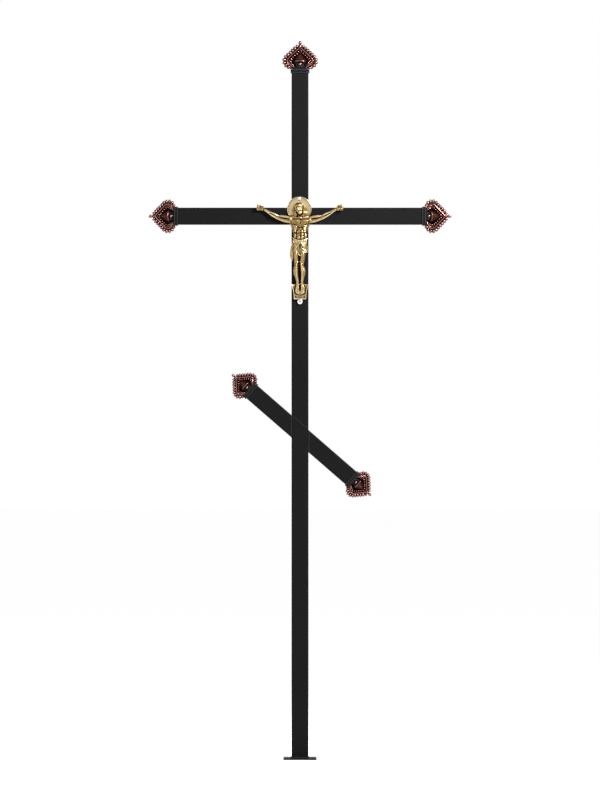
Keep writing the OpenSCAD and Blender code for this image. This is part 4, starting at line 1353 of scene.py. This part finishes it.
# %% [markdown]
# ## Studio
# The cross stands on a plain pale floor before white. Soft lamps stand at the upper right and, much
# weaker, at the left, with one behind so that the back can be seen. The white is shown only to the
# camera and to mirror-like rays, so the metal reflects a bright studio but the lamps set the level.

# %% Floor, backdrop and lamps
def shown_white(tree):
    """1 where the camera or a reflection looks, 0 for light that falls on the cross."""
    path = tree.nodes.new("ShaderNodeLightPath")
    total = path.outputs["Is Camera Ray"]
    for kind in ("Is Glossy Ray", "Is Transmission Ray"):
        add = tree.nodes.new("ShaderNodeMath")
        add.operation, add.use_clamp = "ADD", True
        tree.links.new(total, add.inputs[0])
        tree.links.new(path.outputs[kind], add.inputs[1])
        total = add.outputs[0]
    return total


LIGHT_FROM_ROUND = 0.16     # the world's strength on the cross; the backdrop itself shows as 1
FLOOR_GLOW = 0.86           # brings the pale floor up to the backdrop's white

world = bpy.data.worlds.new("studio")
world.use_nodes = True
bpy.context.scene.world = world
tree = world.node_tree
backdrop = tree.nodes["Background"]
backdrop.inputs["Color"].default_value = (1, 1, 1, 1)
level = tree.nodes.new("ShaderNodeMapRange")
tree.links.new(shown_white(tree), level.inputs["Value"])
level.inputs["To Min"].default_value = LIGHT_FROM_ROUND
level.inputs["To Max"].default_value = 1.0
tree.links.new(level.outputs["Result"], backdrop.inputs["Strength"])

floor_mesh = bpy.data.meshes.new("studio_floor")
FLOOR_R, FLOOR_SIDES = 40, 96
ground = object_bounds()[0][2] - 0.0002
angles = [2 * math.pi * i / FLOOR_SIDES for i in range(FLOOR_SIDES)]
floor_mesh.from_pydata([(FLOOR_R * math.cos(a), FLOOR_R * math.sin(a), ground) for a in angles], [],
                       [tuple(range(FLOOR_SIDES))])
floor = bpy.data.objects.new("studio_floor", floor_mesh)
bpy.context.scene.collection.objects.link(floor)
pale = bpy.data.materials.new("pale_floor")
pale.use_nodes = True
tree = pale.node_tree
tree.nodes.remove(tree.nodes["Principled BSDF"])
matt = tree.nodes.new("ShaderNodeBsdfDiffuse")
matt.inputs["Color"].default_value = (0.8, 0.8, 0.8, 1)
glow = tree.nodes.new("ShaderNodeEmission")
strength = tree.nodes.new("ShaderNodeMath")
strength.operation = "MULTIPLY"
strength.inputs[1].default_value = FLOOR_GLOW
tree.links.new(shown_white(tree), strength.inputs[0])
tree.links.new(strength.outputs[0], glow.inputs["Strength"])
both = tree.nodes.new("ShaderNodeAddShader")
tree.links.new(matt.outputs[0], both.inputs[0])
tree.links.new(glow.outputs[0], both.inputs[1])
tree.links.new(both.outputs[0], tree.nodes["Material Output"].inputs["Surface"])
floor_mesh.materials.append(pale)


def soft_lamp(name, place_at, aim, size, power):
    lamp = bpy.data.lights.new(name, "AREA")
    lamp.shape, lamp.size, lamp.energy = "DISK", size, power
    holder = bpy.data.objects.new(name, lamp)
    holder.location = place_at
    holder.rotation_euler = (Vector(aim) - Vector(place_at)).to_track_quat("-Z", "Y").to_euler()
    bpy.context.scene.collection.objects.link(holder)
    print(name, "at", place_at, "power", power, "W")


soft_lamp("key_lamp", (1.5, -1.6, 2.75), (0, 0, 1.35), 0.8, 104)
soft_lamp("fill_lamp", (-2.4, -2.4, 1.4), (0, 0, 1.1), 1.6, 8)
soft_lamp("back_lamp", (-1.3, 1.9, 2.6), (0, 0, 1.2), 1.0, 60)

# %% [markdown]
# ## Camera
# The cross is seen from far away with a long lens, level with its middle, so that the tubes stay
# parallel and the foot plate shows a thin strip of its top.

# %% Camera
scene = bpy.context.scene
scene.view_settings.view_transform = "Standard"
CAMERA_AWAY, CAMERA_HEIGHT, VIEW_HEIGHT = 17.6, 1.0584, 2.356
lens = bpy.data.cameras.new("camera")
lens.sensor_fit = "VERTICAL"
lens.sensor_height = 36
lens.lens = 36 * CAMERA_AWAY / VIEW_HEIGHT
lens.clip_end = 200
camera = bpy.data.objects.new("camera", lens)
camera.location = (0, -CAMERA_AWAY - tube_half_d, CAMERA_HEIGHT)
camera.rotation_euler = (math.pi / 2, 0, 0)
scene.collection.objects.link(camera)
scene.camera = camera
